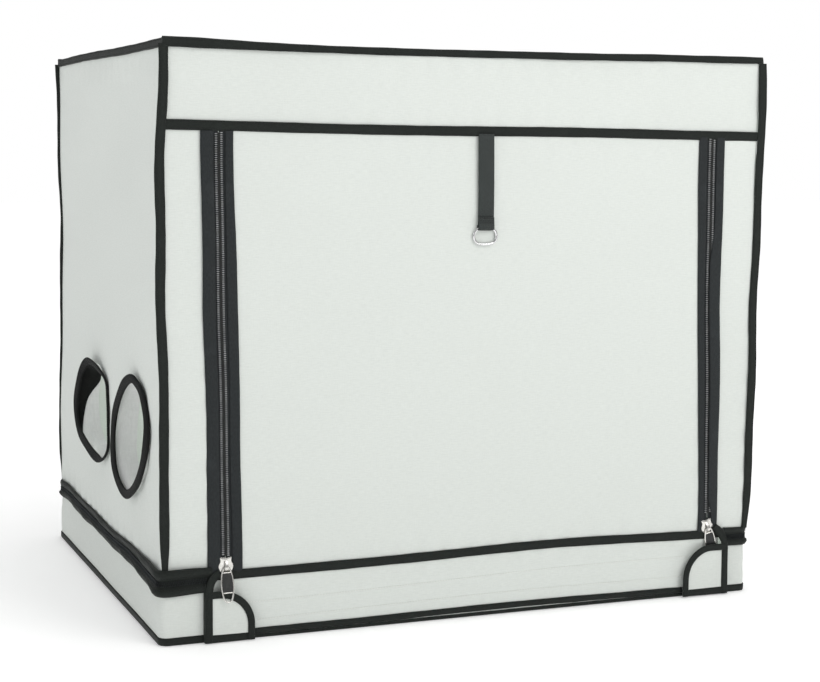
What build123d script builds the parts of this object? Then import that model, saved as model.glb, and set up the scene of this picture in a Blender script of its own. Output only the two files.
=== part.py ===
from build123d import *
import math
import os

# Zip-front fabric cabinet tent. Millimetres, +Z up, X to the right, front face towards -Y.
# The origin is the centre of the floor, on the ground.

# Cabinet
WIDTH = 800.0
DEPTH = 600.0
ROOF_TOP = 704.7
FLANGE_TOP = 708.5
FABRIC = 1.2
HALF_W = WIDTH / 2
HALF_D = DEPTH / 2
IN_X = HALF_W - FABRIC
IN_Y = HALF_D - FABRIC

# Ring zip between the cover and its base tray
RING_ZIP_Z = 75.0
CHAIN_NEAR = 1.2
CHAIN_FAR = 5.2
CHAIN_PROUD = 1.5
RING_BINDING_FAR = 15.0

# Bindings
BINDING_T = 1.0
HEADER_SEAM_Z = 605.0
SEAM_HALF = 6.0
SEAM_T = 1.6
GROUND_GAP = 0.3
GROUND_BINDING_TOP = 10.5
FLANGE_T = 2.0
FIN_HALF_W = 6.0
FIN_T = 2.5
TOP_BINDING_LOW = 697.0
CORNER_GAP = 0.2

# Frame
TUBE_R = 8.0
TUBE_BORE_R = 7.0
POST_X = 386.0
POST_Y = 286.0
BASE_RAIL_Z = 16.0
TOP_RAIL_Z = 690.0
SOCKET_R = 10.5
SOCKET_BORE_R = 8.05
SOCKET_LENGTH = 40.0
SOCKET_SHOULDER = 9.0
TUBE_INSET = 9.2

# Door zips: each runs up the front, leaning a little to the left
ZIP_FOOT_Z = 95.0
ZIP_FOOT_X = {-1: -323.0, 1: 338.0}
ZIP_LEAN = {-1: -10.5 / 504.0, 1: -7.0 / 500.0}
ZIP_TAPE_NEAR = 5.0
ZIP_BINDING_NEAR = 8.0
ZIP_BINDING_FAR = 22.0
DOOR_CHAIN_LOW_Z = 103.0

# Door: a fixed strip below the header, then hinged sections that roll up inwards
ROLL_Z = 545.0
ROLL_PLANE_Y = -298.5
SKIRT_LOW_Z = 5.0
SECTION_COUNT = 12
SECTION_STEP = 0.7
SECTION_GAP = 0.4
DOOR_SEAM_Z = (73.6, 85.6)
HEM_TOP_Z = 12.0
DOOR_BINDING_Y = (-301.2, ROLL_PLANE_Y)
DOOR_SEAM_Y = (-301.4, ROLL_PLANE_Y)
DOOR_CHAIN_Y = (-301.5, -298.9)
FRONT_Y = (-HALF_D, -IN_Y)
DOOR_TOP_Z = HEADER_SEAM_Z - SEAM_HALF - 0.3
SKIRT_OUT = 19.0
SKIRT_TOP_Z = RING_ZIP_Z + CHAIN_NEAR - 0.2
DOOR_TAPE_LOW_Z = DOOR_SEAM_Z[1] + 0.4

# Sill behind the skirt
SILL_Y = (-298.2, -297.0)
SILL_HALF_W = 366.0
SILL_TOP_Z = 62.0

# Corner pockets in front of the skirt: outer edge, inner edge and top
POCKET_OUTER = {-1: 349.0, 1: 368.5}
POCKET_INNER = {-1: 288.0, 1: 300.0}
POCKET_TOP = {-1: 62.0, 1: 66.0}
POCKET_ARC_R = 43.0
POCKET_LOW_Z = 1.0
POCKET_Y = (-308.2, -307.0)
POCKET_BINDING_Y = (-309.0, -306.6)
POCKET_BINDING_W = 9.0
POCKET_STRIP_TOP = 79.0

# Tie strap and its ring
STRAP_X = 7.5
STRAP_W = 22.0
STRAP_Y = (-303.6, -301.8)
STRAP_END_Z = 485.0
STRAP_LOOP_TOP = 492.5
STRAP_LOOP_Y = (-306.0, -301.8)
RING_Y = -303.9
RING_AXIS_Z = 488.7
RING_WIRE_R = 1.5
RING_W = 34.0
RING_H = 25.0
RING_SLOT_R = 1.9

# Zip sliders and pulls, drawn about a zip that runs up +Z with its fabric face at y = 0
SLIDER_W = 17.0
SLIDER_H = 21.0
SLIDER_FRONT_Y = (-3.6, -2.2)
SLIDER_BACK_Y = (2.4, 3.6)
SLIDER_NECK_W = 1.6
SLIDER_NECK_H = 6.0
BRIDGE_W = 5.0
BRIDGE_H = 12.0
BRIDGE_Y = (-7.4, -3.6)
PIVOT_Y = -5.4
PIVOT_UP = 7.5
PIVOT_HOLE_R = 1.25
PIVOT_PIN_R = 1.2
PULL_W = 14.0
PULL_LENGTH = 39.0
PULL_RAIL_W = 2.2
PULL_T = 2.2
INSERT_W = 10.9
INSERT_H = 19.5
DOOR_SLIDER_Z = 81.0
RING_SLIDER_Y = 240.0
PULL_TILT = {-1: 14.0, 1: -2.6}

# Duct ports in the left wall
DUCT_R = 65.0
DUCT_SLEEVE_T = 1.5
DUCT_Z = 226.0
DUCT_Y = {"front": -172.0, "rear": 40.0}
DUCT_MOUTH_X = -416.0
DUCT_HEM_W = 9.0
DUCT_HEM_R = 72.0


def box(x, y, z):
    """Block between the given limits on each axis."""
    size = Box(abs(x[1] - x[0]), abs(y[1] - y[0]), abs(z[1] - z[0]))
    return Pos((x[0] + x[1]) / 2, (y[0] + y[1]) / 2, (z[0] + z[1]) / 2) * size


def front_quad(left, right, y, z):
    """Upright slab whose left and right edges run from one x at the bottom to another at the top."""
    corners = [
        (left[0], y[0], z[0]),
        (right[0], y[0], z[0]),
        (right[1], y[0], z[1]),
        (left[1], y[0], z[1]),
    ]
    return extrude(Face(Wire.make_polygon(corners)), amount=y[1] - y[0], dir=(0, 1, 0))


def tube_along(direction, length):
    """Round frame tube centred on the origin."""
    tube = Cylinder(TUBE_R, length) - Cylinder(TUBE_BORE_R, length)
    turns = {"x": Rot(0, 90, 0), "y": Rot(90, 0, 0), "z": Rot(0, 0, 0)}
    return turns[direction] * tube


def socket_along(direction, sign):
    """One socket of a corner connector, pointing along an axis, as (outside, bore)."""
    turns = {"x": Rot(0, 90 * sign, 0), "y": Rot(-90 * sign, 0, 0), "z": Rot(0, 90 - 90 * sign, 0)}
    outside = Pos(0, 0, SOCKET_LENGTH / 2) * Cylinder(SOCKET_R, SOCKET_LENGTH)
    depth = SOCKET_LENGTH - SOCKET_SHOULDER
    bore = Pos(0, 0, SOCKET_SHOULDER + depth / 2) * Cylinder(SOCKET_BORE_R, depth)
    return turns[direction] * outside, turns[direction] * bore


def corner_connector(side, end, z, up):
    """Three-way connector at one corner, its sockets pointing into the cabinet."""
    shape = Sphere(SOCKET_R)
    bores = []
    for direction, sign in (("x", -side), ("y", -end), ("z", up)):
        outside, bore = socket_along(direction, sign)
        shape += outside
        bores.append(bore)
    for bore in bores:
        shape -= bore
    return Pos(side * POST_X, end * POST_Y, z) * shape


def frame_nodes():
    """Posts, rails and connectors."""
    nodes = {}
    post_length = TOP_RAIL_Z - BASE_RAIL_Z - 2 * TUBE_INSET
    post_mid = (TOP_RAIL_Z + BASE_RAIL_Z) / 2
    for end, end_name in ((-1, "front"), (1, "back")):
        for side, side_name in ((-1, "left"), (1, "right")):
            post = Pos(side * POST_X, end * POST_Y, post_mid) * tube_along("z", post_length)
            nodes[f"post_{end_name}_{side_name}"] = [post]
    for level, z in (("base", BASE_RAIL_Z), ("top", TOP_RAIL_Z)):
        for end, end_name in ((-1, "front"), (1, "back")):
            rail = Pos(0, end * POST_Y, z) * tube_along("x", 2 * (POST_X - TUBE_INSET))
            nodes[f"{level}_rail_{end_name}"] = [rail]
        for side, side_name in ((-1, "left"), (1, "right")):
            rail = Pos(side * POST_X, 0, z) * tube_along("y", 2 * (POST_Y - TUBE_INSET))
            nodes[f"{level}_rail_{side_name}"] = [rail]
        up = 1 if level == "base" else -1
        corners = [(side, end) for side in (-1, 1) for end in (-1, 1)]
        nodes[f"corner_connectors_{level}"] = [corner_connector(s, e, z, up) for s, e in corners]
    return nodes


def zip_x(side, z):
    """Centre line of a door zip at a height."""
    return ZIP_FOOT_X[side] + ZIP_LEAN[side] * (z - ZIP_FOOT_Z)


def zip_strip(side, towards, near, far, y, z):
    """Strip beside a door zip; towards is 1 away from the door and -1 towards it."""
    edges = []
    for reach in (near, far):
        shift = side * towards * reach
        edges.append((zip_x(side, z[0]) + shift, zip_x(side, z[1]) + shift))
    edges.sort()
    return front_quad(edges[0], edges[1], y, z)


def common_span(z, limits):
    """Part of a height span that lies inside the limits, or None."""
    low = max(z[0], limits[0])
    high = min(z[1], limits[1])
    return (low, high) if high - low > SECTION_GAP else None


def door_edges(z, reach):
    """Left and right edges of the door cloth at a distance from its zips."""
    left = tuple(zip_x(-1, h) + reach for h in z)
    right = tuple(zip_x(1, h) - reach for h in z)
    return left, right


def door_piece(low, high):
    """A height span of the door: cloth, edge bindings, zip chain halves, seam and hem."""
    shape = None
    upper = common_span((low, high), (SKIRT_TOP_Z, HEADER_SEAM_Z))
    lower = common_span((low, high), (SKIRT_LOW_Z, SKIRT_TOP_Z))
    if upper:
        left, right = door_edges(upper, ZIP_TAPE_NEAR)
        shape = front_quad(left, right, FRONT_Y, upper)
    if lower:
        left, right = door_edges(lower, -SKIRT_OUT)
        skirt = front_quad(left, right, FRONT_Y, lower)
        shape = skirt if shape is None else shape + skirt
    bound = common_span((low, high), (DOOR_SEAM_Z[1] - 1, HEADER_SEAM_Z))
    chain = common_span((low, high), (DOOR_CHAIN_LOW_Z, HEADER_SEAM_Z))
    for side in (-1, 1):
        if bound:
            shape += zip_strip(side, -1, ZIP_BINDING_NEAR, ZIP_BINDING_FAR, DOOR_BINDING_Y, bound)
        if chain:
            shape += zip_strip(side, -1, CHAIN_NEAR, CHAIN_FAR, DOOR_CHAIN_Y, chain)
    for span, reach, y in (
        (DOOR_SEAM_Z, ZIP_TAPE_NEAR, DOOR_SEAM_Y),
        (DOOR_SEAM_Z, -SKIRT_OUT, (DOOR_SEAM_Y[0], -HALF_D - 0.2)),
        ((DOOR_SEAM_Z[0], SKIRT_TOP_Z), -SKIRT_OUT, DOOR_SEAM_Y),
        ((SKIRT_LOW_Z, HEM_TOP_Z), -SKIRT_OUT, DOOR_BINDING_Y),
    ):
        band = common_span((low, high), span)
        if band:
            left, right = door_edges(band, reach)
            shape += front_quad(left, right, y, band)
    return shape


def section_lengths():
    """Lengths of the rolling sections, each a little shorter so that the roll winds inwards."""
    total = ROLL_Z - SKIRT_LOW_Z
    shrink = SECTION_STEP * SECTION_COUNT * (SECTION_COUNT - 1) / 2
    first = (total + shrink) / SECTION_COUNT
    return [first - SECTION_STEP * index for index in range(SECTION_COUNT)]


def door_nodes():
    """Fixed strip and rolling sections of the door."""
    gap = SECTION_GAP / 2
    nodes = {"door_top_section": [door_piece(ROLL_Z + gap, DOOR_TOP_Z)]}
    top = ROLL_Z
    for index, length in enumerate(section_lengths(), start=1):
        bottom = top - length
        low = SKIRT_LOW_Z if index == SECTION_COUNT else bottom + gap
        nodes[f"door_section_{index:02d}"] = [door_piece(low, top - gap)]
        top = bottom
    return nodes


def cover_nodes():
    """Cloth panels of the cover above the ring zip."""
    wall_z = (RING_ZIP_Z + CHAIN_NEAR, ROOF_TOP)
    left_wall = box((-HALF_W, -IN_X), (-HALF_D, HALF_D), wall_z)
    port_r = DUCT_R + DUCT_SLEEVE_T + 0.1
    for y in DUCT_Y.values():
        left_wall -= Pos(-HALF_W, y, DUCT_Z) * Rot(0, 90, 0) * Cylinder(port_r, 4 * FABRIC)
    strip_z = (RING_ZIP_Z + CHAIN_NEAR, HEADER_SEAM_Z)
    strips = {}
    for side, name in ((-1, "left"), (1, "right")):
        inner = tuple(zip_x(side, h) + side * ZIP_TAPE_NEAR for h in strip_z)
        outer = (side * IN_X, side * IN_X)
        edges = sorted((inner, outer))
        strips[name] = front_quad(edges[0], edges[1], FRONT_Y, strip_z)
    return {
        "left_wall": [left_wall],
        "right_wall": [box((IN_X, HALF_W), (-HALF_D, HALF_D), wall_z)],
        "back_wall": [box((-IN_X, IN_X), (IN_Y, HALF_D), wall_z)],
        "roof_panel": [box((-IN_X, IN_X), (-IN_Y, IN_Y), (ROOF_TOP - FABRIC, ROOF_TOP))],
        "header_panel": [box((-IN_X, IN_X), FRONT_Y, (HEADER_SEAM_Z, ROOF_TOP))],
        "front_strip_left": [strips["left"]],
        "front_strip_right": [strips["right"]],
    }


def wall_band(wall, proud, z):
    """Straight band on the outside of one wall; those on the side walls reach round the corners."""
    run_x = (-HALF_W + CORNER_GAP, HALF_W - CORNER_GAP)
    run_y = (-HALF_D - proud, HALF_D + proud)
    bands = {
        "left": box((-HALF_W - proud, -HALF_W), run_y, z),
        "right": box((HALF_W, HALF_W + proud), run_y, z),
        "back": box(run_x, (HALF_D, HALF_D + proud), z),
        "front": box(run_x, (-HALF_D - proud, -HALF_D), z),
    }
    return bands[wall]


def binding_nodes():
    """Tape on the corner edges, the roof edge, the header seam and the ground edge."""
    corner = []
    z = (RING_ZIP_Z + RING_BINDING_FAR + CORNER_GAP, TOP_BINDING_LOW - CORNER_GAP)
    for side in (-1, 1):
        for end in (-1, 1):
            fin_x = (side * (HALF_W - FIN_HALF_W), side * (HALF_W + FIN_HALF_W))
            fin_y = (end * HALF_D, end * (HALF_D + FIN_T))
            corner.append(box(fin_x, fin_y, z))
    top_z = (TOP_BINDING_LOW, FLANGE_TOP)
    roof_edge = [wall_band(name, BINDING_T, top_z) for name in ("left", "right", "back", "front")]
    flange_z = (ROOF_TOP, FLANGE_TOP)
    inner_x = HALF_W - FLANGE_T
    inner_y = HALF_D - FLANGE_T
    roof_edge[0] += box((-HALF_W, -inner_x), (-inner_y, inner_y), flange_z)
    roof_edge[1] += box((inner_x, HALF_W), (-inner_y, inner_y), flange_z)
    roof_edge[2] += box((-inner_x, inner_x), (inner_y, HALF_D), flange_z)
    roof_edge[3] += box((-inner_x, inner_x), (-HALF_D, -inner_y), flange_z)
    seam_z = (HEADER_SEAM_Z - SEAM_HALF, HEADER_SEAM_Z + SEAM_HALF)
    seam_x = HALF_W - FIN_HALF_W - CORNER_GAP
    header = box((-seam_x, seam_x), (-HALF_D - SEAM_T, -HALF_D), seam_z)
    ground_z = (GROUND_GAP, GROUND_BINDING_TOP)
    ground = [wall_band(name, BINDING_T, ground_z) for name in ("left", "right", "back")]
    front = wall_band("front", BINDING_T, (GROUND_GAP, SKIRT_LOW_Z - 0.5))
    front_y = (-HALF_D - BINDING_T, -HALF_D)
    for side in (-1, 1):
        front += box((side * POCKET_OUTER[side], side * (HALF_W - CORNER_GAP)), front_y, ground_z)
    ground.append(front)
    return {
        "corner_bindings": corner,
        "roof_edge_binding": roof_edge,
        "header_seam_binding": [header],
        "ground_binding": ground,
    }


def base_nodes():
    """Base tray: floor, low walls, sill and the ring zip that joins it to the cover."""
    wall_z = (FABRIC, RING_ZIP_Z - CHAIN_NEAR)
    walls = [
        box((-HALF_W, -IN_X), (-HALF_D, HALF_D), wall_z),
        box((IN_X, HALF_W), (-HALF_D, HALF_D), wall_z),
        box((-IN_X, IN_X), (IN_Y, HALF_D), wall_z),
    ]
    for side in (-1, 1):
        inner = tuple(zip_x(side, h) + side * (SKIRT_OUT + 1) for h in wall_z)
        outer = (side * IN_X, side * IN_X)
        edges = sorted((inner, outer))
        walls.append(front_quad(edges[0], edges[1], FRONT_Y, wall_z))
    ring = []
    for low, high, proud in (
        (CHAIN_NEAR, CHAIN_FAR, CHAIN_PROUD),
        (CHAIN_FAR, RING_BINDING_FAR, BINDING_T),
    ):
        for sign in (-1, 1):
            span = sorted((RING_ZIP_Z + sign * low, RING_ZIP_Z + sign * high))
            for name in ("left", "right", "back"):
                ring.append(wall_band(name, proud, span))
            for side in (-1, 1):
                inner = abs(zip_x(side, RING_ZIP_Z)) + ZIP_BINDING_FAR + 2 * CORNER_GAP
                x = sorted((side * inner, side * (HALF_W - CORNER_GAP)))
                ring.append(box(x, (-HALF_D - proud, -HALF_D), span))
    return {
        "base_floor": [box((-HALF_W, HALF_W), (-HALF_D, HALF_D), (0, FABRIC))],
        "base_walls": walls,
        "base_sill": [box((-SILL_HALF_W, SILL_HALF_W), SILL_Y, (FABRIC, SILL_TOP_Z))],
        "ring_zip": ring,
    }


def door_tape(side):
    """Fixed half of a door zip, sewn to the front strip."""
    z = (DOOR_TAPE_LOW_Z, DOOR_TOP_Z)
    outer_y = (DOOR_BINDING_Y[0], -HALF_D)
    binding = zip_strip(side, 1, ZIP_BINDING_NEAR, ZIP_BINDING_FAR, outer_y, z)
    chain = zip_strip(side, 1, CHAIN_NEAR, ZIP_TAPE_NEAR - 0.05, DOOR_CHAIN_Y, z)
    return [binding, chain]


def pocket_outline(side, margin):
    """Quarter-round face of a corner pocket, shrunk by a margin along its free edge."""
    arc_r = POCKET_ARC_R - margin
    inner = POCKET_INNER[side] + margin
    top = POCKET_TOP[side] - margin
    outer = POCKET_OUTER[side]
    centre = (inner + arc_r, top - arc_r)
    sketch = Pos(*centre) * Circle(arc_r)
    for x0, x1, z0, z1 in (
        (centre[0], outer, POCKET_LOW_Z, top),
        (inner, outer, POCKET_LOW_Z, centre[1]),
    ):
        sketch += Pos((x0 + x1) / 2, (z0 + z1) / 2) * Rectangle(x1 - x0, z1 - z0)
    limit = Pos((inner + outer) / 2, (POCKET_LOW_Z + top) / 2)
    return sketch & limit * Rectangle(outer - inner, top - POCKET_LOW_Z)


def pocket(side):
    """Corner pocket: face, bound free edge and the side strip that holds it off the skirt."""
    upright = Rot(90, 0, 0)
    face = upright * pocket_outline(side, 0)
    rim = upright * (pocket_outline(side, 0) - pocket_outline(side, POCKET_BINDING_W))
    shape = extrude(face, amount=POCKET_Y[1] - POCKET_Y[0], dir=(0, 1, 0))
    shape = Pos(0, POCKET_Y[0], 0) * shape
    edge = extrude(rim, amount=POCKET_BINDING_Y[1] - POCKET_BINDING_Y[0], dir=(0, 1, 0))
    shape += Pos(0, POCKET_BINDING_Y[0], 0) * edge
    outer = POCKET_OUTER[side]
    shape += box((POCKET_INNER[side], outer), POCKET_BINDING_Y, (POCKET_LOW_Z, GROUND_BINDING_TOP))
    strip_y = (POCKET_BINDING_Y[0], -HALF_D - CHAIN_PROUD - 0.1)
    shape += box((outer - POCKET_BINDING_W, outer), strip_y, (POCKET_LOW_Z, POCKET_STRIP_TOP))
    return shape if side > 0 else mirror(shape, about=Plane.YZ)


def strap_nodes():
    """Webbing strap in two lengths and its oval ring."""
    x = (STRAP_X - STRAP_W / 2, STRAP_X + STRAP_W / 2)
    gap = SECTION_GAP / 2
    upper = box(x, STRAP_Y, (ROLL_Z + gap, HEADER_SEAM_Z - SEAM_HALF - 0.3))
    lower = box(x, STRAP_Y, (STRAP_LOOP_TOP - 1, ROLL_Z - gap))
    lower += box(x, STRAP_LOOP_Y, (STRAP_END_Z, STRAP_LOOP_TOP))
    at_loop = Pos(STRAP_X, RING_Y, RING_AXIS_Z)
    lower -= at_loop * Rot(0, 90, 0) * Cylinder(RING_SLOT_R, 2 * STRAP_W)
    half_w = RING_W / 2 - RING_WIRE_R
    height = RING_H - 2 * RING_WIRE_R
    bend = 6.0
    path = FilletPolyline(
        (-half_w, 0, 0), (-half_w, 0, -height), (half_w, 0, -height), (half_w, 0, 0), radius=bend
    )
    wire = sweep(Plane(origin=path @ 0, z_dir=path % 0) * Circle(RING_WIRE_R), path=path)
    bar = Rot(0, 90, 0) * Cylinder(RING_WIRE_R, RING_W - 2 * RING_WIRE_R)
    ring = wire + bar + Pos(-half_w, 0, 0) * Sphere(RING_WIRE_R) + Pos(half_w, 0, 0) * Sphere(RING_WIRE_R)
    return {"strap_upper": [upper], "strap_lower": [lower], "strap_ring": [at_loop * ring]}


def slider_body():
    """Zip slider: two plates, the neck between them and the bridge that carries the pull."""
    mid = SLIDER_H / 2
    outline = Pos(0, mid) * RectangleRounded(SLIDER_W, SLIDER_H, 5)
    plate = Rot(90, 0, 0) * outline
    front = Pos(0, SLIDER_FRONT_Y[0], 0) * extrude(plate, amount=1.4, dir=(0, 1, 0))
    back = Pos(0, SLIDER_BACK_Y[0], 0) * extrude(plate, amount=1.2, dir=(0, 1, 0))
    neck_x = (-SLIDER_NECK_W / 2, SLIDER_NECK_W / 2)
    neck_z = (SLIDER_H - SLIDER_NECK_H, SLIDER_H - 1)
    neck = box(neck_x, (SLIDER_FRONT_Y[0], SLIDER_BACK_Y[1]), neck_z)
    bridge_x = (-BRIDGE_W / 2, BRIDGE_W / 2)
    bridge_z = (PIVOT_UP - 3, PIVOT_UP - 3 + BRIDGE_H)
    bridge = box(bridge_x, (BRIDGE_Y[0], SLIDER_FRONT_Y[1]), bridge_z)
    hole = Pos(0, PIVOT_Y, PIVOT_UP) * Rot(0, 90, 0) * Cylinder(PIVOT_HOLE_R, 2 * BRIDGE_W)
    return front + back + neck + bridge - hole


def pull_frame():
    """Wire frame of a zip pull, hanging from its pin at the origin."""
    side_x = (PULL_W - PULL_RAIL_W) / 2
    pin = Rot(0, 90, 0) * Cylinder(PIVOT_PIN_R, PULL_W - 0.4)
    shape = pin
    low = -(PULL_LENGTH - PULL_W / 2)
    for sign in (-1, 1):
        x = (sign * side_x - PULL_RAIL_W / 2, sign * side_x + PULL_RAIL_W / 2)
        shape += box(x, (-PULL_T / 2, PULL_T / 2), (low, 0.6))
    outer = Pos(0, low) * Circle(PULL_W / 2)
    rim = outer - Pos(0, low) * Circle(PULL_W / 2 - PULL_RAIL_W)
    rim &= Pos(0, low - PULL_W / 2) * Rectangle(2 * PULL_W, PULL_W)
    bow = extrude(Rot(90, 0, 0) * rim, amount=PULL_T, dir=(0, 1, 0))
    shape += Pos(0, -PULL_T / 2, 0) * bow
    bar_top = -(PULL_LENGTH - INSERT_H) + 1.6
    shape += box((-side_x, side_x), (-PULL_T / 2, PULL_T / 2), (bar_top - 1.6, bar_top))
    return shape


def pull_insert():
    """Soft grip set inside the lower half of a pull."""
    width = PULL_W - 2 * PULL_RAIL_W - 0.04
    top = -(PULL_LENGTH - INSERT_H) - 0.02
    low = -(PULL_LENGTH - PULL_W / 2)
    shape = box((-width / 2, width / 2), (-PULL_T / 2, PULL_T / 2), (low, top))
    disc = Pos(0, low) * Circle(width / 2)
    bow = extrude(Rot(90, 0, 0) * disc, amount=PULL_T, dir=(0, 1, 0))
    return shape + Pos(0, -PULL_T / 2, 0) * bow


def slider_nodes():
    """Sliders and pulls of the two door zips and the ring zip."""
    nodes = {}
    for side, name in ((-1, "left"), (1, "right")):
        lean = math.degrees(math.atan(ZIP_LEAN[side]))
        place = Pos(zip_x(side, DOOR_SLIDER_Z), -HALF_D, DOOR_SLIDER_Z) * Rot(0, lean, 0)
        pin = Pos(0, PIVOT_Y, PIVOT_UP) * Rot(-PULL_TILT[side], 0, 0)
        nodes[f"slider_{name}"] = [place * slider_body()]
        nodes[f"pull_{name}"] = [place * pin * pull_frame()]
        nodes[f"pull_insert_{name}"] = [place * pin * pull_insert()]
    place = Pos(HALF_W, RING_SLIDER_Y, RING_ZIP_Z) * Rot(90, 0, 0) * Rot(0, 0, 90)
    pin = Pos(0, PIVOT_Y, PIVOT_UP)
    nodes["ring_zip_slider"] = [place * slider_body()]
    nodes["ring_zip_pull"] = [place * pin * pull_frame()]
    return nodes


def duct_collar(y):
    """Sleeve with a bound mouth, sewn into a round port."""
    outer_r = DUCT_R + DUCT_SLEEVE_T
    length = abs(DUCT_MOUTH_X) - IN_X
    sleeve = Cylinder(outer_r, length) - Cylinder(DUCT_R, length)
    hem = Cylinder(DUCT_HEM_R, DUCT_HEM_W) - Cylinder(DUCT_R, DUCT_HEM_W)
    shape = sleeve + Pos(0, 0, (length - DUCT_HEM_W) / 2) * hem
    return Pos(-IN_X - length / 2, y, DUCT_Z) * Rot(0, -90, 0) * shape


def all_nodes():
    nodes = {}
    nodes.update(frame_nodes())
    nodes.update(cover_nodes())
    nodes.update(binding_nodes())
    nodes.update(base_nodes())
    nodes.update(door_nodes())
    nodes["door_tape_left"] = door_tape(-1)
    nodes["door_tape_right"] = door_tape(1)
    nodes["pocket_left"] = [pocket(-1)]
    nodes["pocket_right"] = [pocket(1)]
    nodes.update(strap_nodes())
    nodes.update(slider_nodes())
    for name, y in DUCT_Y.items():
        nodes[f"duct_collar_{name}"] = [duct_collar(y)]
    return nodes


def export(name, shapes):
    whole = shapes[0] if len(shapes) == 1 else Compound(children=list(shapes))
    export_step(whole, f"parts/{name}.step")


os.makedirs("parts", exist_ok=True)
for node_name, node_shapes in all_nodes().items():
    export(node_name, node_shapes)
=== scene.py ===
import math
import bpy
import numpy as np
from mathutils import Matrix, Vector


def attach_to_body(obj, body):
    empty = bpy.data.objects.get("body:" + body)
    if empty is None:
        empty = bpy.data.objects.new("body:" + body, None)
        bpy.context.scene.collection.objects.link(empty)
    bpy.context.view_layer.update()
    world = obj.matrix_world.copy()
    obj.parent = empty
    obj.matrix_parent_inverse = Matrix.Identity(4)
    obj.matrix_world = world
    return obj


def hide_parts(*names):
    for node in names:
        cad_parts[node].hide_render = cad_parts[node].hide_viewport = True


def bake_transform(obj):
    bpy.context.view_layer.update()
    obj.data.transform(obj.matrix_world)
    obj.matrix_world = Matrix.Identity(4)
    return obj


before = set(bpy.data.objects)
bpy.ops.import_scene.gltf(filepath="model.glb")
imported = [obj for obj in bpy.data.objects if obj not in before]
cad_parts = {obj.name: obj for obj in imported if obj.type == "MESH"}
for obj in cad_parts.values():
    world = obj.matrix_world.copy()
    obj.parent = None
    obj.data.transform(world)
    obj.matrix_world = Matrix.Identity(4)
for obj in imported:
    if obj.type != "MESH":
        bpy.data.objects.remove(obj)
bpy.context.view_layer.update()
MM = 0.001

# ------------------------------------------------------------------ sizes, mm
HW, HD = 400.0, 300.0
ROOF = 704.0
SEAM_Z = 605.0
ROLL_Z = 545.0
SKIRT_LOW = 5.0
N_SECTIONS = 12
STEP = 0.7
ZIP_FOOT_Z = 95.0
ZIP_FOOT_X = {-1: -323.0, 1: 338.0}
ZIP_LEAN = {-1: -10.5 / 504.0, 1: -7.0 / 500.0}
CHAIN_LOW = {-1: 103.0, 1: 108.0}
SLIDER_FOOT_Z = 81.0
RING_Z = 75.0
DUCT_Z = 226.0
DUCT_Y = {"front": -172.0, "rear": 40.0}
STRAP_X = 7.5
SIDE = {-1: "left", 1: "right"}
FRONT, UP = (0, -1, 0), (0, 0, 1)


def zip_x(side, z):
    return ZIP_FOOT_X[side] + ZIP_LEAN[side] * (np.asarray(z, float) - ZIP_FOOT_Z)


# ------------------------------------------------------------------ materials
def nodes_of(name):
    m = bpy.data.materials.new(name)
    m.use_nodes = True
    t = m.node_tree
    return m, t, t.nodes["Principled BSDF"]


def put(t, kind, **values):
    n = t.nodes.new(kind)
    for k, v in values.items():
        if k in n.inputs:
            n.inputs[k].default_value = v
        else:
            setattr(n, k, v)
    return n


def scaled_uv(t, u, v):
    """The cloth's own coordinates, in metres, stretched by u and v."""
    uv = put(t, "ShaderNodeUVMap")
    uv.uv_map = "UVMap"
    m = put(t, "ShaderNodeMapping")
    m.inputs["Scale"].default_value = (u, v, 1)
    t.links.new(uv.outputs[0], m.inputs["Vector"])
    return m.outputs[0]


def ramp(t, fac, stops):
    r = put(t, "ShaderNodeValToRGB")
    els = r.color_ramp.elements
    while len(els) < len(stops):
        els.new(0.5)
    for e, (p, c) in zip(els, stops):
        e.position = p
        e.color = (*c, 1)
    t.links.new(fac, r.inputs["Fac"])
    return r.outputs["Color"]


def mixed(t, a, b, fac):
    m = put(t, "ShaderNodeMix", data_type="RGBA", blend_type="MIX")
    if isinstance(fac, float):
        m.inputs[0].default_value = fac
    else:
        t.links.new(fac, m.inputs[0])
    for src, i in ((a, 6), (b, 7)):
        if isinstance(src, tuple):
            m.inputs[i].default_value = (*src, 1)
        else:
            t.links.new(src, m.inputs[i])
    return m.outputs[2]


def noise(t, vec, scale, detail=3.0, rough=0.55):
    n = put(t, "ShaderNodeTexNoise", Scale=scale, Detail=detail, Roughness=rough)
    t.links.new(vec, n.inputs["Vector"])
    return n.outputs["Fac"]


def wave(t, vec, scale, direction="X"):
    n = put(t, "ShaderNodeTexWave", wave_type="BANDS", bands_direction=direction, Scale=scale)
    t.links.new(vec, n.inputs["Vector"])
    return n.outputs["Fac"]


def bump(t, height, dist, strength=1.0, after=None):
    b = put(t, "ShaderNodeBump", Strength=strength, Distance=dist)
    t.links.new(height, b.inputs["Height"])
    if after is not None:
        t.links.new(after, b.inputs["Normal"])
    return b.outputs["Normal"]


def mapped(t, fac, *ends):
    """A value brought from one range to another; ends are from min, from max, to min and to max."""
    r = put(t, "ShaderNodeMapRange")
    for name, value in zip(("From Min", "From Max", "To Min", "To Max"), ends):
        r.inputs[name].default_value = value
    t.links.new(fac, r.inputs["Value"])
    return r.outputs["Result"]


GRIME = (0.60, 0.62, 0.58)


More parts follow.
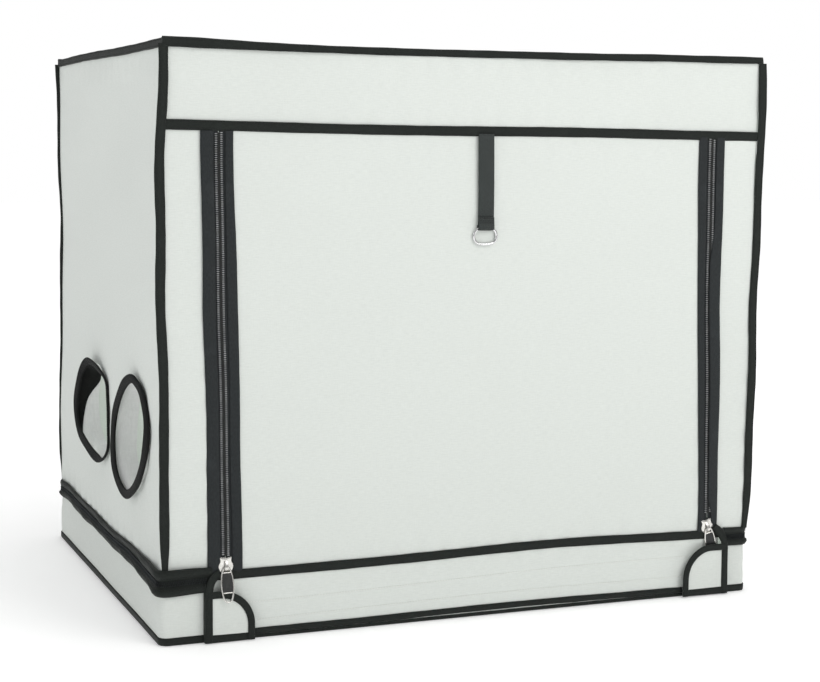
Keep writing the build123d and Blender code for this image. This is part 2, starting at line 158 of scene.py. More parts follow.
def cloth(name, light, dark, sheen=0.12):
    """Coated plain weave: streaky yarns, soft wrinkles, faint soiling."""
    m, t, p = nodes_of(name)
    base = scaled_uv(t, 1, 1)
    yarn = noise(t, scaled_uv(t, 110, 760), 1.0, 4, 0.6)
    warp = noise(t, scaled_uv(t, 760, 130), 1.0, 4, 0.6)
    blotch = noise(t, base, 5.0, 4)
    tone = ramp(t, yarn, [(0.30, dark), (0.66, light)])
    tone = mixed(t, tone, ramp(t, warp, [(0.28, dark), (0.60, light)]), 0.35)
    tone = mixed(t, tone, GRIME, mapped(t, blotch, 0.52, 0.82, 0, 0.10))
    t.links.new(tone, p.inputs["Base Color"])
    t.links.new(mapped(t, blotch, 0, 1, 0.66, 0.80), p.inputs["Roughness"])
    p.inputs["Sheen Weight"].default_value = sheen
    p.inputs["Sheen Roughness"].default_value = 0.5
    p.inputs["Specular IOR Level"].default_value = 0.28
    n1 = bump(t, noise(t, scaled_uv(t, 1.0, 1.6), 7.0, 3), 0.006, 0.35)
    n2 = bump(t, yarn, 0.00025, 0.55, n1)
    n3 = bump(t, warp, 0.00020, 0.45, n2)
    t.links.new(n3, p.inputs["Normal"])
    return m


def tape_material(name, dark, light, ribs, rib_mm=1.1, rough=(0.55, 0.72), depth=0.0002):
    """Narrow woven tape: ribs across it, lint and rubbed places."""
    m, t, p = nodes_of(name)
    base = scaled_uv(t, 1, 1)
    lint = noise(t, scaled_uv(t, 260, 900), 1.0, 4)
    rub = noise(t, base, 22.0, 4)
    tone = ramp(t, lint, [(0.35, dark), (0.75, light)])
    tone = mixed(t, tone, tuple(min(1, c * 2.3) for c in light), mapped(t, rub, 0.55, 0.85, 0, 0.35))
    t.links.new(tone, p.inputs["Base Color"])
    t.links.new(mapped(t, rub, 0, 1, *rough), p.inputs["Roughness"])
    p.inputs["Sheen Weight"].default_value = 0.05
    p.inputs["Sheen Roughness"].default_value = 0.45
    p.inputs["Specular IOR Level"].default_value = 0.22
    scale = 2 * math.pi / (20 * rib_mm * MM)
    if ribs == "cross":
        h = wave(t, base, scale, "X")
    elif ribs == "herringbone":
        uv = put(t, "ShaderNodeUVMap")
        uv.uv_map = "UVMap"
        sep = put(t, "ShaderNodeSeparateXYZ")
        t.links.new(uv.outputs[0], sep.inputs[0])
        zig = put(t, "ShaderNodeMath", operation="PINGPONG")
        zig.inputs[1].default_value = 2.75 * MM
        t.links.new(sep.outputs["Y"], zig.inputs[0])
        add = put(t, "ShaderNodeMath", operation="ADD")
        t.links.new(sep.outputs["X"], add.inputs[0])
        t.links.new(zig.outputs[0], add.inputs[1])
        com = put(t, "ShaderNodeCombineXYZ")
        t.links.new(add.outputs[0], com.inputs["X"])
        h = wave(t, com.outputs[0], scale, "X")
        tone2 = mixed(t, tone, tuple(c * 4.2 for c in light), mapped(t, h, 0.45, 0.9, 0, 0.7))
        t.links.new(tone2, p.inputs["Base Color"])
    else:
        h = wave(t, base, scale, "DIAGONAL")
    n1 = bump(t, h, depth, 0.8)
    n2 = bump(t, lint, 0.00015, 0.5, n1)
    t.links.new(n2, p.inputs["Normal"])
    return m


def hard_material(name, dark, light, metallic=0.0, rough=(0.3, 0.5), scale=60.0, coat=0.0, depth=0.00005):
    """Plastic, rubber or plated metal with slight mottling and handling marks."""
    m, t, p = nodes_of(name)
    geo = put(t, "ShaderNodeTexCoord")
    vec = geo.outputs["Object"]
    n = noise(t, vec, scale, 4)
    fine = noise(t, vec, scale * 14, 3)
    tone = ramp(t, n, [(0.35, dark), (0.7, light)])
    t.links.new(tone, p.inputs["Base Color"])
    t.links.new(mapped(t, fine, 0, 1, *rough), p.inputs["Roughness"])
    p.inputs["Metallic"].default_value = metallic
    p.inputs["Coat Weight"].default_value = coat
    t.links.new(bump(t, fine, depth, 0.5), p.inputs["Normal"])
    return m


MAT = {
    "cloth": cloth("cover_cloth", (0.745, 0.780, 0.745), (0.672, 0.706, 0.672)),
    "base": cloth("base_cloth", (0.725, 0.758, 0.722), (0.652, 0.684, 0.650)),
    "sleeve": cloth("collar_cloth", (0.80, 0.81, 0.80), (0.70, 0.71, 0.70), sheen=0.2),
    "tape": tape_material("edge_tape", (0.008, 0.011, 0.009), (0.017, 0.021, 0.018), "cross"),
    "porttape": tape_material("port_edge_tape", (0.0016, 0.0020, 0.0018), (0.0050, 0.0062, 0.0055),
                              "cross", rough=(0.7, 0.85)),
    "ziptape": tape_material("zip_tape", (0.014, 0.017, 0.018), (0.027, 0.031, 0.033), "diagonal", 1.4),
    "web": tape_material("webbing", (0.014, 0.017, 0.016), (0.026, 0.030, 0.029),
                         "herringbone", 1.5, depth=0.0005),
    # the coil's light grey is painted highlight: it stands for the glints on the teeth of a dark nylon coil
    "coil": hard_material("zip_coil", (0.20, 0.206, 0.210), (0.38, 0.388, 0.392), 0.0, (0.26, 0.40), 90),
    "thread": hard_material("black_thread", (0.004, 0.005, 0.005), (0.010, 0.012, 0.011),
                            0.0, (0.7, 0.9), 300),
    "thread_white": hard_material("pale_thread", (0.80, 0.81, 0.78), (0.90, 0.91, 0.88),
                                  0.0, (0.55, 0.75), 300),
    "nickel": hard_material("nickel", (0.60, 0.59, 0.56), (0.80, 0.79, 0.76), 1.0, (0.16, 0.30), 140),
    "chrome": hard_material("chrome_ring", (0.62, 0.62, 0.62), (0.80, 0.80, 0.81), 1.0, (0.10, 0.20), 160),
    "rubber": hard_material("pull_rubber", (0.012, 0.013, 0.013), (0.028, 0.029, 0.029),
                            0.0, (0.45, 0.62), 400, depth=0.0001),
    "tube": hard_material("frame_coating", (0.70, 0.71, 0.70), (0.80, 0.81, 0.80),
                          0.0, (0.34, 0.48), 40, 0.15),
    "joint": hard_material("connector_plastic", (0.018, 0.018, 0.019), (0.034, 0.034, 0.036),
                           0.0, (0.42, 0.60), 70),
}


# ------------------------------------------------------------------ mesh tools
def breathe(p):
    """Slow waviness that all the cover's cloth shares, so that layers stay in step. mm in, mm out."""
    x, y, z = p[..., 0], p[..., 1], p[..., 2]
    q = p.copy()
    up = np.clip(z / 60.0, 0, 1)
    sway = 1.3 * np.sin(z / 71.0 + y / 160.0) + 0.7 * np.sin(z / 29.0 + y / 90.0 + 1.0)
    q[..., 0] += up * sway * (np.abs(x) / HW) ** 4
    sway = 1.0 * np.sin(x / 93.0 + z / 117.0 + 0.6) + 0.6 * np.sin(x / 47.0 - z / 66.0)
    q[..., 1] += up * sway * (np.abs(y) / HD) ** 4
    # the back left corner bows inwards
    bow = np.exp(-(((y - HD) / 130.0) ** 2)) * np.sin(np.clip(z / ROOF, 0, 1) * math.pi)
    q[..., 0] += up * 2.0 * np.clip(-x / HW, 0, 1) ** 8 * bow
    top = np.clip((z - 560.0) / 140.0, 0, 1)
    q[..., 2] += top * (0.9 * np.sin(x / 88.0 + 0.4) + 0.8 * np.sin(y / 75.0))
    front = np.clip((-y - 285.0) / 10.0, 0, 1)
    hump = 5.2 * np.exp(-(((x - 120.0) / 300.0) ** 2)) - 0.6
    q[..., 2] += front * hump * np.exp(-(((z - 80.0) / 55.0) ** 2))
    return q


def new_object(name, data):
    o = bpy.data.objects.new(name, data)
    bpy.context.scene.collection.objects.link(o)
    return o


class Piece:
    """Collects parts of one mesh, each with its material."""

    def __init__(self, name, mats):
        self.name, self.mats = name, mats
        self.v, self.uv, self.f, self.m, self.n = [], [], [], [], 0

    def add(self, v, f, uv, mat=0):
        v = np.asarray(v, float).reshape(-1, 3)
        self.v.append(v)
        self.uv.append(np.asarray(uv, float).reshape(-1, 2))
        for face in f:
            self.f.append([i + self.n for i in face])
        self.m += [mat] * len(f)
        self.n += len(v)

    def build(self, warp=breathe, sharp=None):
        v = np.concatenate(self.v)
        if warp is not None:
            v = warp(v)
        me = bpy.data.meshes.new(self.name)
        me.from_pydata((v * MM).tolist(), [], self.f)
        uv = np.concatenate(self.uv) * MM
        layer = me.uv_layers.new(name="UVMap")
        loops = np.zeros(len(me.loops), np.int32)
        me.loops.foreach_get("vertex_index", loops)
        layer.data.foreach_set("uv", uv[loops].astype(np.float32).ravel())
        for m in self.mats:
            me.materials.append(MAT[m])
        me.polygons.foreach_set("material_index", np.array(self.m, np.int32))
        me.polygons.foreach_set("use_smooth", np.full(len(self.f), True))
        if sharp is not None:
            me.set_sharp_from_angle(angle=math.radians(sharp))
        me.update()
        o = new_object(self.name, me)
        return o


def grid_faces(nu, nv, keep=None, flip=False):
    i, j = np.meshgrid(np.arange(nu - 1), np.arange(nv - 1), indexing="ij")
    a = (i * nv + j).ravel()
    f = np.stack([a, a + nv, a + nv + 1, a + 1], 1)
    if flip:
        f = f[:, ::-1]
    if keep is not None:
        f = f[keep.ravel()]
    return f.tolist()


def hoop_faces(count, n, closed=False):
    """Quads between rings of n points each."""
    faces = []
    for i in range(count if closed else count - 1):
        a, b = i * n, (i + 1) % count * n
        faces += [[a + k, a + (k + 1) % n, b + (k + 1) % n, b + k] for k in range(n)]
    return faces


def flat_uv(u, v):
    return np.stack([u.ravel(), v.ravel()], 1)


def points(x, y, z):
    return np.column_stack(np.broadcast_arrays(x, y, z))


def sample(at, s, path):
    """Points of a path at the lengths given."""
    return np.stack([np.interp(at, s, path[:, k]) for k in range(path.shape[1])], 1)


def unit(a):
    return a / np.maximum(np.linalg.norm(a, axis=-1, keepdims=True), 1e-9)


def along(path):
    d = np.linalg.norm(np.diff(path, axis=0), axis=1)
    return np.concatenate([[0], np.cumsum(d)])


def line(a, b, step=5.0):
    a, b = np.array(a, float), np.array(b, float)
    n = max(2, int(math.ceil(np.linalg.norm(b - a) / step)) + 1)
    return a + (b - a) * np.linspace(0, 1, n)[:, None]


def tube_section(n=12, flat=0.45):
    a = np.linspace(0, 2 * math.pi, n, endpoint=False)
    c, s = np.cos(a), np.sin(a)
    return np.sign(c) * np.abs(c) ** flat, np.sign(s) * np.abs(s) ** 0.8


def strip(piece, path, across, normal, width, thick, mat=0, closed=False, wander=0.0, n=12, welded=False):
    """A tape swept along a path: flat oval section, its width along across and thickness along normal."""
    path = np.asarray(path, float)
    across = np.broadcast_to(np.asarray(across, float), path.shape)
    normal = np.broadcast_to(np.asarray(normal, float), path.shape)
    width = np.broadcast_to(np.asarray(width, float), (len(path),))
    s = along(path)
    place = path @ np.array([1.0, 0.8, 1.25])
    w = width * (1 + wander * (0.6 * np.sin(place / 19.0) + 0.4 * np.sin(place / 7.3 + 1.0)))
    sx, sy = tube_section(n)
    v = path[:, None] + across[:, None] * (sx[None, :, None] * w[:, None, None] / 2)
    v = v + normal[:, None] * (sy[None, :, None] * thick / 2)
    faces = hoop_faces(len(path), n, closed)
    uv = np.stack([np.repeat(s, n), np.tile(sx, len(path)) * np.repeat(w, n) / 2], 1)
    if welded:
        faces += [list(range(n))[::-1], [(len(path) - 1) * n + k for k in range(n)]]
    piece.add(v, faces, uv, mat)
    if not closed and not welded:
        for end, order in ((0, -1), (-1, 1)):
            piece.add(v[end], [list(range(n))[::order]], np.tile(uv[end], (n, 1)), mat)


def copies(piece, tv, tf, at, ex, ey, ez, mat=0):
    """Copies of a small template at many places, each with its own axes."""
    at = np.asarray(at, float)
    n = len(at)
    if n == 0:
        return
    ex, ey, ez = (np.broadcast_to(np.asarray(e, float), at.shape) for e in (ex, ey, ez))
    v = at[:, None] + sum(tv[None, :, i, None] * e[:, None] for i, e in enumerate((ex, ey, ez)))
    k = len(tv)
    faces = [[i + q * k for i in f] for q in range(n) for f in tf]
    uv = np.stack([v[..., 0].ravel() + v[..., 1].ravel(), v[..., 2].ravel()], 1)
    piece.add(v, faces, uv, mat)


# one stitch: a small pointed grain along x
GRAIN_RIM = [(1, 0), (0, 1), (-1, 0), (0, -0.4)]
GRAIN_V = np.array([(-1, 0, 0), (1, 0, 0)] + [(x, y, z) for x in (-0.5, 0.5) for y, z in GRAIN_RIM], float)
GRAIN_F = [[0, 3 + k, 2 + k] if k < 3 else [0, 2, 5] for k in range(4)]
GRAIN_F += [[1, 6 + k, 7 + k] if k < 3 else [1, 9, 6] for k in range(4)]
GRAIN_F += [[2 + k, 3 + k, 7 + k, 6 + k] if k < 3 else [5, 2, 6, 9] for k in range(4)]


def stitches(piece, path, normal, mat, pitch=3.2, size=(1.15, 0.34, 0.34)):
    """A row of lockstitches along a path, lying on the surface whose normal is given."""
    path = np.asarray(path, float)
    normal = np.broadcast_to(np.asarray(normal, float), path.shape)
    s = along(path)
    at = np.arange(path[0, 2] % pitch, s[-1], pitch)
    if len(at) == 0:
        return
    nr = unit(sample(at, s, normal))
    tx = unit(sample(at + 0.5, s, path) - sample(at - 0.5, s, path))
    ty = unit(np.cross(nr, tx))
    copies(piece, GRAIN_V, GRAIN_F, sample(at, s, path), tx * size[0], ty * size[1], nr * size[2], mat)


def coil_tooth():
    """One turn of the zip's coil: a rounded bar with a thicker head."""
    v = []
    rings = [(-0.1, 0.50), (1.2, 0.62), (2.6, 0.72), (4.3, 0.98), (5.1, 0.60)]
    for x, r in rings:
        for k in range(6):
            a = k * math.pi / 3
            v.append((x, 1.15 * r * math.cos(a) * 1.05, 0.80 * r * math.sin(a)))
    f = hoop_faces(len(rings), 6) + [[0, 5, 4, 3, 2, 1], [24, 25, 26, 27, 28, 29]]
    return np.array(v, float), f


TOOTH_V, TOOTH_F = coil_tooth()


def tube_wire(piece, path, r, mat=0, closed=False, n=10):
    """Round wire along a path."""
    path = np.asarray(path, float)
    nxt = np.roll(path, -1, 0) if closed else np.vstack([path[1:], 2 * path[-1] - path[-2]])
    prv = np.roll(path, 1, 0) if closed else np.vstack([2 * path[0] - path[1], path[:-1]])
    t = unit(nxt - prv)
    ref = np.array([0.0, 1.0, 0.0])
    if np.abs(t @ ref).max() > 0.95:
        ref = np.array([1.0, 0.0, 0.0])
    a = unit(np.cross(t, ref))
    b = np.cross(t, a)
    r = np.broadcast_to(np.asarray(r, float), (len(path),))
    ang = np.linspace(0, 2 * math.pi, n, endpoint=False)
    ring = np.cos(ang)[None, :, None] * a[:, None] + np.sin(ang)[None, :, None] * b[:, None]
    v = path[:, None] + r[:, None, None] * ring
    faces = [f[:1] + f[:0:-1] for f in hoop_faces(len(path), n, closed)]
    if not closed:
        faces.append(list(range(n)))
        faces.append([(len(path) - 1) * n + k for k in range(n)][::-1])
    uv = np.stack([np.repeat(along(path), n), np.tile(ang, len(path))], 1)
    piece.add(v, faces, uv, mat)


def prism(piece, outline, y0, y1, mat=0, rim=0.0):
    """A plate from an outline in x and z, between two y, with rims rounded by rim."""
    o = np.asarray(outline, float)
    n = len(o)
    rows = [(o, y0), (o, y1)]
    if rim:
        out = unit(o - o.mean(0))
        deep = rim * math.copysign(1, y1 - y0)
        rows = [(o - out * rim, y0), (o - out * rim * 0.3, y0 + 0.3 * deep), (o, y0 + deep)]
        rows += [(o, y1 - deep), (o - out * rim * 0.3, y1 - 0.3 * deep), (o - out * rim, y1)]
    v = np.concatenate([np.stack([r[:, 0], np.full(n, y), r[:, 1]], 1) for r, y in rows])
    f = hoop_faces(len(rows), n)
    f.append(list(range(n))[::-1])
    f.append([(len(rows) - 1) * n + k for k in range(n)])
    piece.add(v, f, v[:, [0, 2]], mat)


# ------------------------------------------------------------------ walls
def attach(obj, body="tent", nodes=()):
    """Fix a piece to a body and let it stand for CAD nodes."""
    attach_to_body(obj, body)
    if nodes:
        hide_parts(*nodes)
    return obj


def seam_pucker(d, s, amp=0.9, reach=26.0, pitch=19.0):
    """Little gathers beside a sewn seam: d is the distance from it and s the place along it."""
    r = np.abs(d) / reach
    folds = np.sin(s / pitch * 2 * math.pi / 1.9 + 1.4 * np.sin(s / 61.0))
    return amp * 2.3 * r * np.exp(-1.2 * r * r) * folds * (0.6 + 0.4 * np.sin(s / 143.0 + 1.0))


def edge_fade(edge, Z):
    """0 at the edges of a wall and 1 from 40 mm inside them."""
    near = (edge, Z - COVER_LOW, ROOF - Z)
    return math.prod(np.clip(d / 40.0, 0, 1) for d in near)


def wall_grid(name, u, v, place, mat="cloth", keep=None, flip=False):
    U, V = np.meshgrid(u, v, indexing="ij")
    p = place(U, V)
    k = None
    if keep is not None:
        uc = (u[:-1] + u[1:]) / 2
        vc = (v[:-1] + v[1:]) / 2
        k = keep(*np.meshgrid(uc, vc, indexing="ij"))
    piece = Piece(name, [mat])
    piece.add(p, grid_faces(len(u), len(v), k, flip), flat_uv(U, V))
    return piece.build()


def span(a, b, step=5.0):
    return np.linspace(a, b, max(2, int(round(abs(b - a) / step)) + 1))


def sag(u, v, a, b, seed):
    """Broad, shallow undulation of a stretched panel."""
    r = np.random.default_rng(seed)
    h = np.zeros_like(u)
    for _ in range(7):
        ku, kv = r.uniform(0.4, 2.4, 2) * r.choice([-1, 1], 2)
        h += r.uniform(0.3, 1.0) * np.sin(2 * math.pi * (ku * u / a + kv * v / b) + r.uniform(0, 6.3))
    return h / 3.0


COVER_LOW, BASE_HIGH = 79.0, 71.0
HOLE_R = 65.4
# the collars' slumped mouths: distance off the wall, y and z
MOUTH = {
    "front": [(7, -178, 301), (11, -152.6, 287), (14, -121, 252), (15, -111.6, 218.8), (14, -114.5, 184),
              (11, -134, 162), (7, -160, 154), (4, -200, 176), (2.5, -228, 213.7), (2, -234, 251),
              (2.5, -216, 284), (4, -196, 297)],
    "rear": [(7, 54.6, 294.0), (10, 74.7, 284.8), (13, 88, 265.5), (15, 104, 228), (14.5, 93, 194.8),
             (12, 50, 177.7), (8, 14.4, 169), (6, -13.3, 172.2), (3, -29.8, 189.5), (2, -28.9, 219.8),
             (2, -31.2, 253.1), (2, -25.3, 277.3), (4, 14.0, 289.6)],
}


def hole_radius(which, ang):
    """Radius of a duct port by angle: round, but drawn in where its mouth has slumped inside it."""
    cy = DUCT_Y[which]
    m = np.array(MOUTH[which])
    a = np.arctan2(m[:, 2] - DUCT_Z, m[:, 1] - cy)
    r = np.hypot(m[:, 1] - cy, m[:, 2] - DUCT_Z)
    order = np.argsort(a)
    a, r = a[order], r[order]
    a, r = np.concatenate([a - 2 * math.pi, a, a + 2 * math.pi]), np.tile(r, 3)
    return np.minimum(HOLE_R, np.interp(ang, a, r) - 1.5)


def side_wall(name, side, seed, holes=()):
    def place(Y, Z):
        edge = np.minimum(np.abs(Y - HD), np.abs(Y + HD))
        h = 2.2 * sag(Y, Z, 600.0, 630.0, seed) * edge_fade(edge, Z)
        h += seam_pucker(edge, Z) + seam_pucker(ROOF - Z, Y) + seam_pucker(Z - COVER_LOW, Y, 1.2)
        for which in holes:
            cy = DUCT_Y[which]
            d = np.hypot(Y - cy, Z - DUCT_Z)
            ang = np.arctan2(Z - DUCT_Z, Y - cy)
            hole = hole_radius(which, ang)
            r = np.abs(d - hole) / 16.0
            h += 1.2 * r * np.exp(-r * r) * np.sin(9 * ang + cy)
            snap = np.abs(d - hole) < 2.9
            Y = np.where(snap, cy + hole * np.cos(ang), Y)
            Z = np.where(snap, DUCT_Z + hole * np.sin(ang), Z)
        return np.stack([side * (HW + h), Y, Z], -1)

    def keep(Y, Z):
        k = np.ones(Y.shape, bool)
        for which in holes:
            cy = DUCT_Y[which]
            k &= np.hypot(Y - cy, Z - DUCT_Z) > hole_radius(which, np.arctan2(Z - DUCT_Z, Y - cy))
        return k

    step = 4.0 if holes else 6.0
    return wall_grid(name, span(-HD, HD, step), span(COVER_LOW, ROOF, step), place, keep=keep, flip=side > 0)


def back_wall():
    def place(X, Z):
        edge = np.minimum(np.abs(X - HW), np.abs(X + HW))
        h = 2.4 * sag(X, Z, 800.0, 630.0, 21) * edge_fade(edge, Z)
        h = h + seam_pucker(edge, Z) + seam_pucker(ROOF - Z, X)
        return np.stack([X, HD + h, Z], -1)

    return wall_grid("back_panel", span(-HW, HW, 6), span(COVER_LOW, ROOF, 6), place)


def roof_panel():
    def place(X, Y):
        edge = np.minimum(HW - np.abs(X), HD - np.abs(Y))
        h = (1.6 * sag(X, Y, 800.0, 600.0, 5) - 1.8) * np.clip(edge / 60.0, 0, 1)
        h = h + 0.6 * seam_pucker(HD - np.abs(Y), X)
        return np.stack([X, Y, ROOF + h], -1)

    return wall_grid("roof_cloth", span(-HW, HW, 7), span(-HD, HD, 7), place, flip=True)


def front_height(X, Z):
    """How far the front cloth lies off its plane, outwards."""
    h = 1.5 * sag(X, Z, 800.0, 700.0, 33) * np.clip((Z - 95) / 40.0, 0, 1)
    h = h * np.clip(np.minimum(np.abs(X - zip_x(-1, Z)), np.abs(X - zip_x(1, Z))) / 40.0, 0.15, 1)
    h += seam_pucker(Z - SEAM_Z, X, 0.7)
    return h


def header():
    def place(X, Z):
        h = front_height(X, Z) + seam_pucker(ROOF - Z, X, 0.7) + seam_pucker(HW - np.abs(X), Z, 0.6)
        h += 1.4 * np.exp(-(((Z - 655.0) / 40.0) ** 2)) * np.sin(X / 110.0 + 0.7)
        return np.stack([X, -HD - h, Z], -1)

    return wall_grid("header_cloth", span(-HW + 1, HW - 1, 5), span(SEAM_Z - 1, ROOF, 5), place)


def front_strip(side):
    def place(T, Z):
        inner = zip_x(side, Z) + side * 7.0
        outer = side * (HW - 1)
        X = inner + (outer - inner) * T
        h = 0.5 * front_height(X, Z) + 1.3 * np.sin(Z / 88.0 + side) * np.sin(math.pi * T)
        h += seam_pucker((1 - T) * 60.0, Z, 0.8, 20) + seam_pucker(T * 60.0, Z, 0.6, 20)
        return np.stack([X, -HD - h, Z], -1)

    u, v = np.linspace(0, 1, 16), span(COVER_LOW, SEAM_Z + 1, 5)
    piece = Piece(f"front_strip_{SIDE[side]}_cloth", ["cloth"])
    U, V = np.meshgrid(u, v, indexing="ij")
    p = place(U, V)
    piece.add(p, grid_faces(len(u), len(v), flip=side < 0), flat_uv(p[..., 0], V))
    return piece.build()


# ------------------------------------------------------------------ the band round the base
def ring_path(radius=9.0, step=5.0, start_x=-340.0, end_x=362.0):
    """Line round the base from one side of the door to the other, with its outward directions."""
    pts, out = [], []

    def straight(a, b, n):
        seg = line(a, b, step)
        pts.extend(seg.tolist())
        out.extend([n] * len(seg))

    def corner(cx, cy, a0, a1):
        for a in np.radians(np.linspace(a0, a1, 8))[1:-1]:
            pts.append([cx + radius * math.cos(a), cy + radius * math.sin(a)])
            out.append([math.cos(a), math.sin(a)])

    straight((start_x, -HD), (-HW + radius, -HD), [0, -1])
    corner(-HW + radius, -HD + radius, 270, 180)
    straight((-HW, -HD + radius), (-HW, HD - radius), [-1, 0])
    corner(-HW + radius, HD - radius, 180, 90)
    straight((-HW + radius, HD), (HW - radius, HD), [0, 1])
    corner(HW - radius, HD - radius, 90, 0)
    straight((HW, HD - radius), (HW, -HD + radius), [1, 0])
    corner(HW - radius, -HD + radius, 0, -90)
    straight((HW - radius, -HD), (end_x, -HD), [0, -1])
    return np.array(pts, float), np.array(out, float)


RING_P, RING_N = ring_path()
RING_S = along(points(*RING_P.T, 0.0))
RING_OUT = points(*RING_N.T, 0.0)
CORNERS = ((-HW, -HD), (-HW, HD), (HW, HD), (HW, -HD))
CORNER_S = [RING_S[np.argmin(np.hypot(*(RING_P - corner).T))] for corner in CORNERS]


def near_corner(s, width=45.0):
    return sum(np.exp(-(((s - c) / width) ** 2)) for c in CORNER_S)


def ring_wave(s):
    """Vertical wander of the ring zip."""
    return 1.2 * np.sin(s / 73.0) + 0.8 * np.sin(s / 31.0 + 1.0) - 1.6 * near_corner(s, 35.0)


def band(piece, profile, swell=1.0, flip=False, slim=1.0):
    """A band swept round the base. The profile is (height, outwards); slim draws its height in about
    the ring zip's line, everywhere but at the near left corner."""
    prof = np.asarray(profile, float)
    s = RING_S[:, None]
    height = prof[None, :, 0] + 0 * s
    near = np.exp(-(((s - CORNER_S[0]) / 85.0) ** 2))
    z = height
    if slim < 1:
        z = RING_Z + 0.6 + (height - RING_Z - 0.6) * (slim + (1 - slim) * near)
    z = z + ring_wave(s) * np.clip(height / 60.0, 0, 1)
    fold = 0.30 * np.sin(s / 41.0 + height / 7.0) + 0.22 * np.sin(s / 13.0 - height / 4.0)
    fold = fold + 0.9 * near + 0.15 * near_corner(s) - 0.1
    out = 0.6 * (swell > 0.5) + prof[None, :, 1] * (1 + swell * np.maximum(fold, -0.35))
    x, y = (RING_P[:, None, i] + RING_N[:, None, i] * out for i in (0, 1))
    p = np.stack([x, y, z + 0 * out], -1)
    v = np.cumsum(np.concatenate([[0], np.hypot(*np.diff(prof, axis=0).T)]))
    U, V = np.meshgrid(RING_S, v, indexing="ij")
    piece.add(p, grid_faces(len(RING_S), len(prof), flip=flip), flat_uv(U, V))
    return p


def base_band():
    piece = Piece("base_wall_cloth", ["base"])
    z = span(0.8, BASE_HIGH, 4.5)
    h = 0.9 * np.sin(z / 70.0 * math.pi)
    band(piece, np.column_stack([z, h]), 0.9, flip=True)
    return piece.build()


def ring_zip():
    """Zip round the base: one folded tape with two bulging rolls and the chain in the groove between them."""
    piece = Piece("ring_zip_bands", ["tape", "ziptape", "thread"])
    upper = [(91.6, 1.0), (91.7, 1.9), (90.0, 2.8), (87.5, 3.5), (84.8, 3.6), (82.0, 2.9), (80.0, 1.9)]
    groove = [(78.6, 1.5), (76.8, 1.4), (75.0, 1.4), (73.2, 1.4), (71.6, 1.5)]
    lower = [(70.4, 2.1), (68.4, 3.6), (65.8, 4.3), (63.0, 3.9), (60.8, 2.6), (59.6, 1.8), (59.4, 1.0)]
    profile = upper + groove + lower
    rows = band(piece, profile, slim=0.76)
    for k in (2, 5, 13, 16):
        stitches(piece, rows[:, k] + RING_OUT * 0.2, RING_OUT, 2, 3.4)
    mid = rows[:, 9]
    s = along(mid)
    for sign, late in ((1, 0.0), (-1, 1.0)):
        at = np.arange(6 + late, s[-1] - 4, 2.0)
        p, n = sample(at, s, mid), unit(sample(at, s, RING_OUT))
        up = np.broadcast_to([0.0, 0.0, float(sign)], p.shape)
        copies(piece, TOOTH_V * [0.62, 0.8, 0.7], TOOTH_F, p + n * 0.7, up, n, np.cross(up, n), 1)
    return piece.build()


def ground_tape():
    piece = Piece("ground_edge_tape", ["tape", "thread"])
    prof = [(9.4, 0.4), (9.8, 1.4), (8.6, 2.1), (5.4, 2.3), (2.2, 2.1), (0.5, 1.5), (0.1, 0.4)]
    rows = band(piece, prof, 0.15)
    stitches(piece, rows[:, 2] + RING_OUT * 0.2, RING_OUT, 1, 3.2)
    front = line((-352, -HD - 0.4, 2.3), (368, -HD - 0.4, 2.3), 6)
    strip(piece, front, UP, FRONT, 4.2, 1.8)
    return piece.build()


# ------------------------------------------------------------------ bound corner seams
def fin(piece, mid, across, normal, width=12.0, thick=2.6):
    """A bound seam standing off an edge, with a stitch row beside each rim."""
    strip(piece, mid, across, normal, width, thick, wander=0.05)
    across, normal = np.array(across, float), np.array(normal, float)
    width = np.broadcast_to(width, (len(mid),))[:, None]
    for sign in (-1, 1):
        for off in (-0.30, 0.34):
            row = mid + across * width * off + normal * sign * (thick / 2 - 0.02)
            stitches(piece, row, normal * sign, 1, 3.2)


# middle line of each corner's bound seam: z and x
FIN_LINE = {
    (-1, -1): ((88, -396.0), (200, -398.5), (361, -400.6), (523, -402.2), (605, -402.6), (660, -401.4),
               (702, -400.8)),
    (1, -1): ((86, 396.6), (125, 398.4), (230, 400.0), (282, 399.8), (337, 401.2), (453, 404.4),
              (518, 405.2), (640, 404.6), (702, 402.6)),
    (-1, 1): ((86, -396.5), (240, -396.8), (400, -398.2), (520, -397.6), (600, -397.8), (660, -399.4),
              (702, -400.4)),
    (1, 1): ((88, 402.0), (400, 403.2), (702, 402.0)),
}


def corner_fins():
    piece = Piece("corner_edge_tape", ["tape", "thread"])
    for (sx, sy), line_x in FIN_LINE.items():
        z = span(84, 701, 5)
        zk, xk = zip(*line_x)
        x = np.interp(z, zk, xk)
        for _ in range(30):
            x[1:-1] = (x[:-2] + 2 * x[1:-1] + x[2:]) / 4
        mid = points(x + 0.35 * np.sin(z / 23.0 + sx), sy * (HD + 1.5), z)
        fin(piece, mid, (1.0, 0, 0), (0, float(sy), 0), 12.0 - 4.0 * ease(z, 128, 88))
    return piece.build()


def roof_fins():
    piece = Piece("roof_edge_tape", ["tape", "thread"])
    z, lean = 703.2, 0.16
    for sy in (-1, 1):
        mid = line((-HW - 2, sy * (HD + 1.2), z), (HW + 3, sy * (HD + 1.2), z), 5)
        x = mid[:, 0]
        droop_x = (-380, -280, -146, -12, 122, 190, 255, 370, 403)
        mid[:, 2] += np.interp(x, droop_x, (0.2, -1.2, -2.0, -2.6, -2.6, -1.4, 0.4, 1.6, 1.6))
        fin(piece, mid, (0, -sy * lean, 1.0), (0, float(sy), sy * 0.1), 12.0 - 2.8 * ease(x, -350, -230))
    for sx in (-1, 1):
        mid = line((sx * (HW + 1.0), -HD - 1, z - 0.6), (sx * (HW + 1.0), HD + 1, z - 0.6), 5)
        fin(piece, mid, (-sx * lean, 0, 1.0), (float(sx), 0, sx * 0.1), 11.0)
    return piece.build()


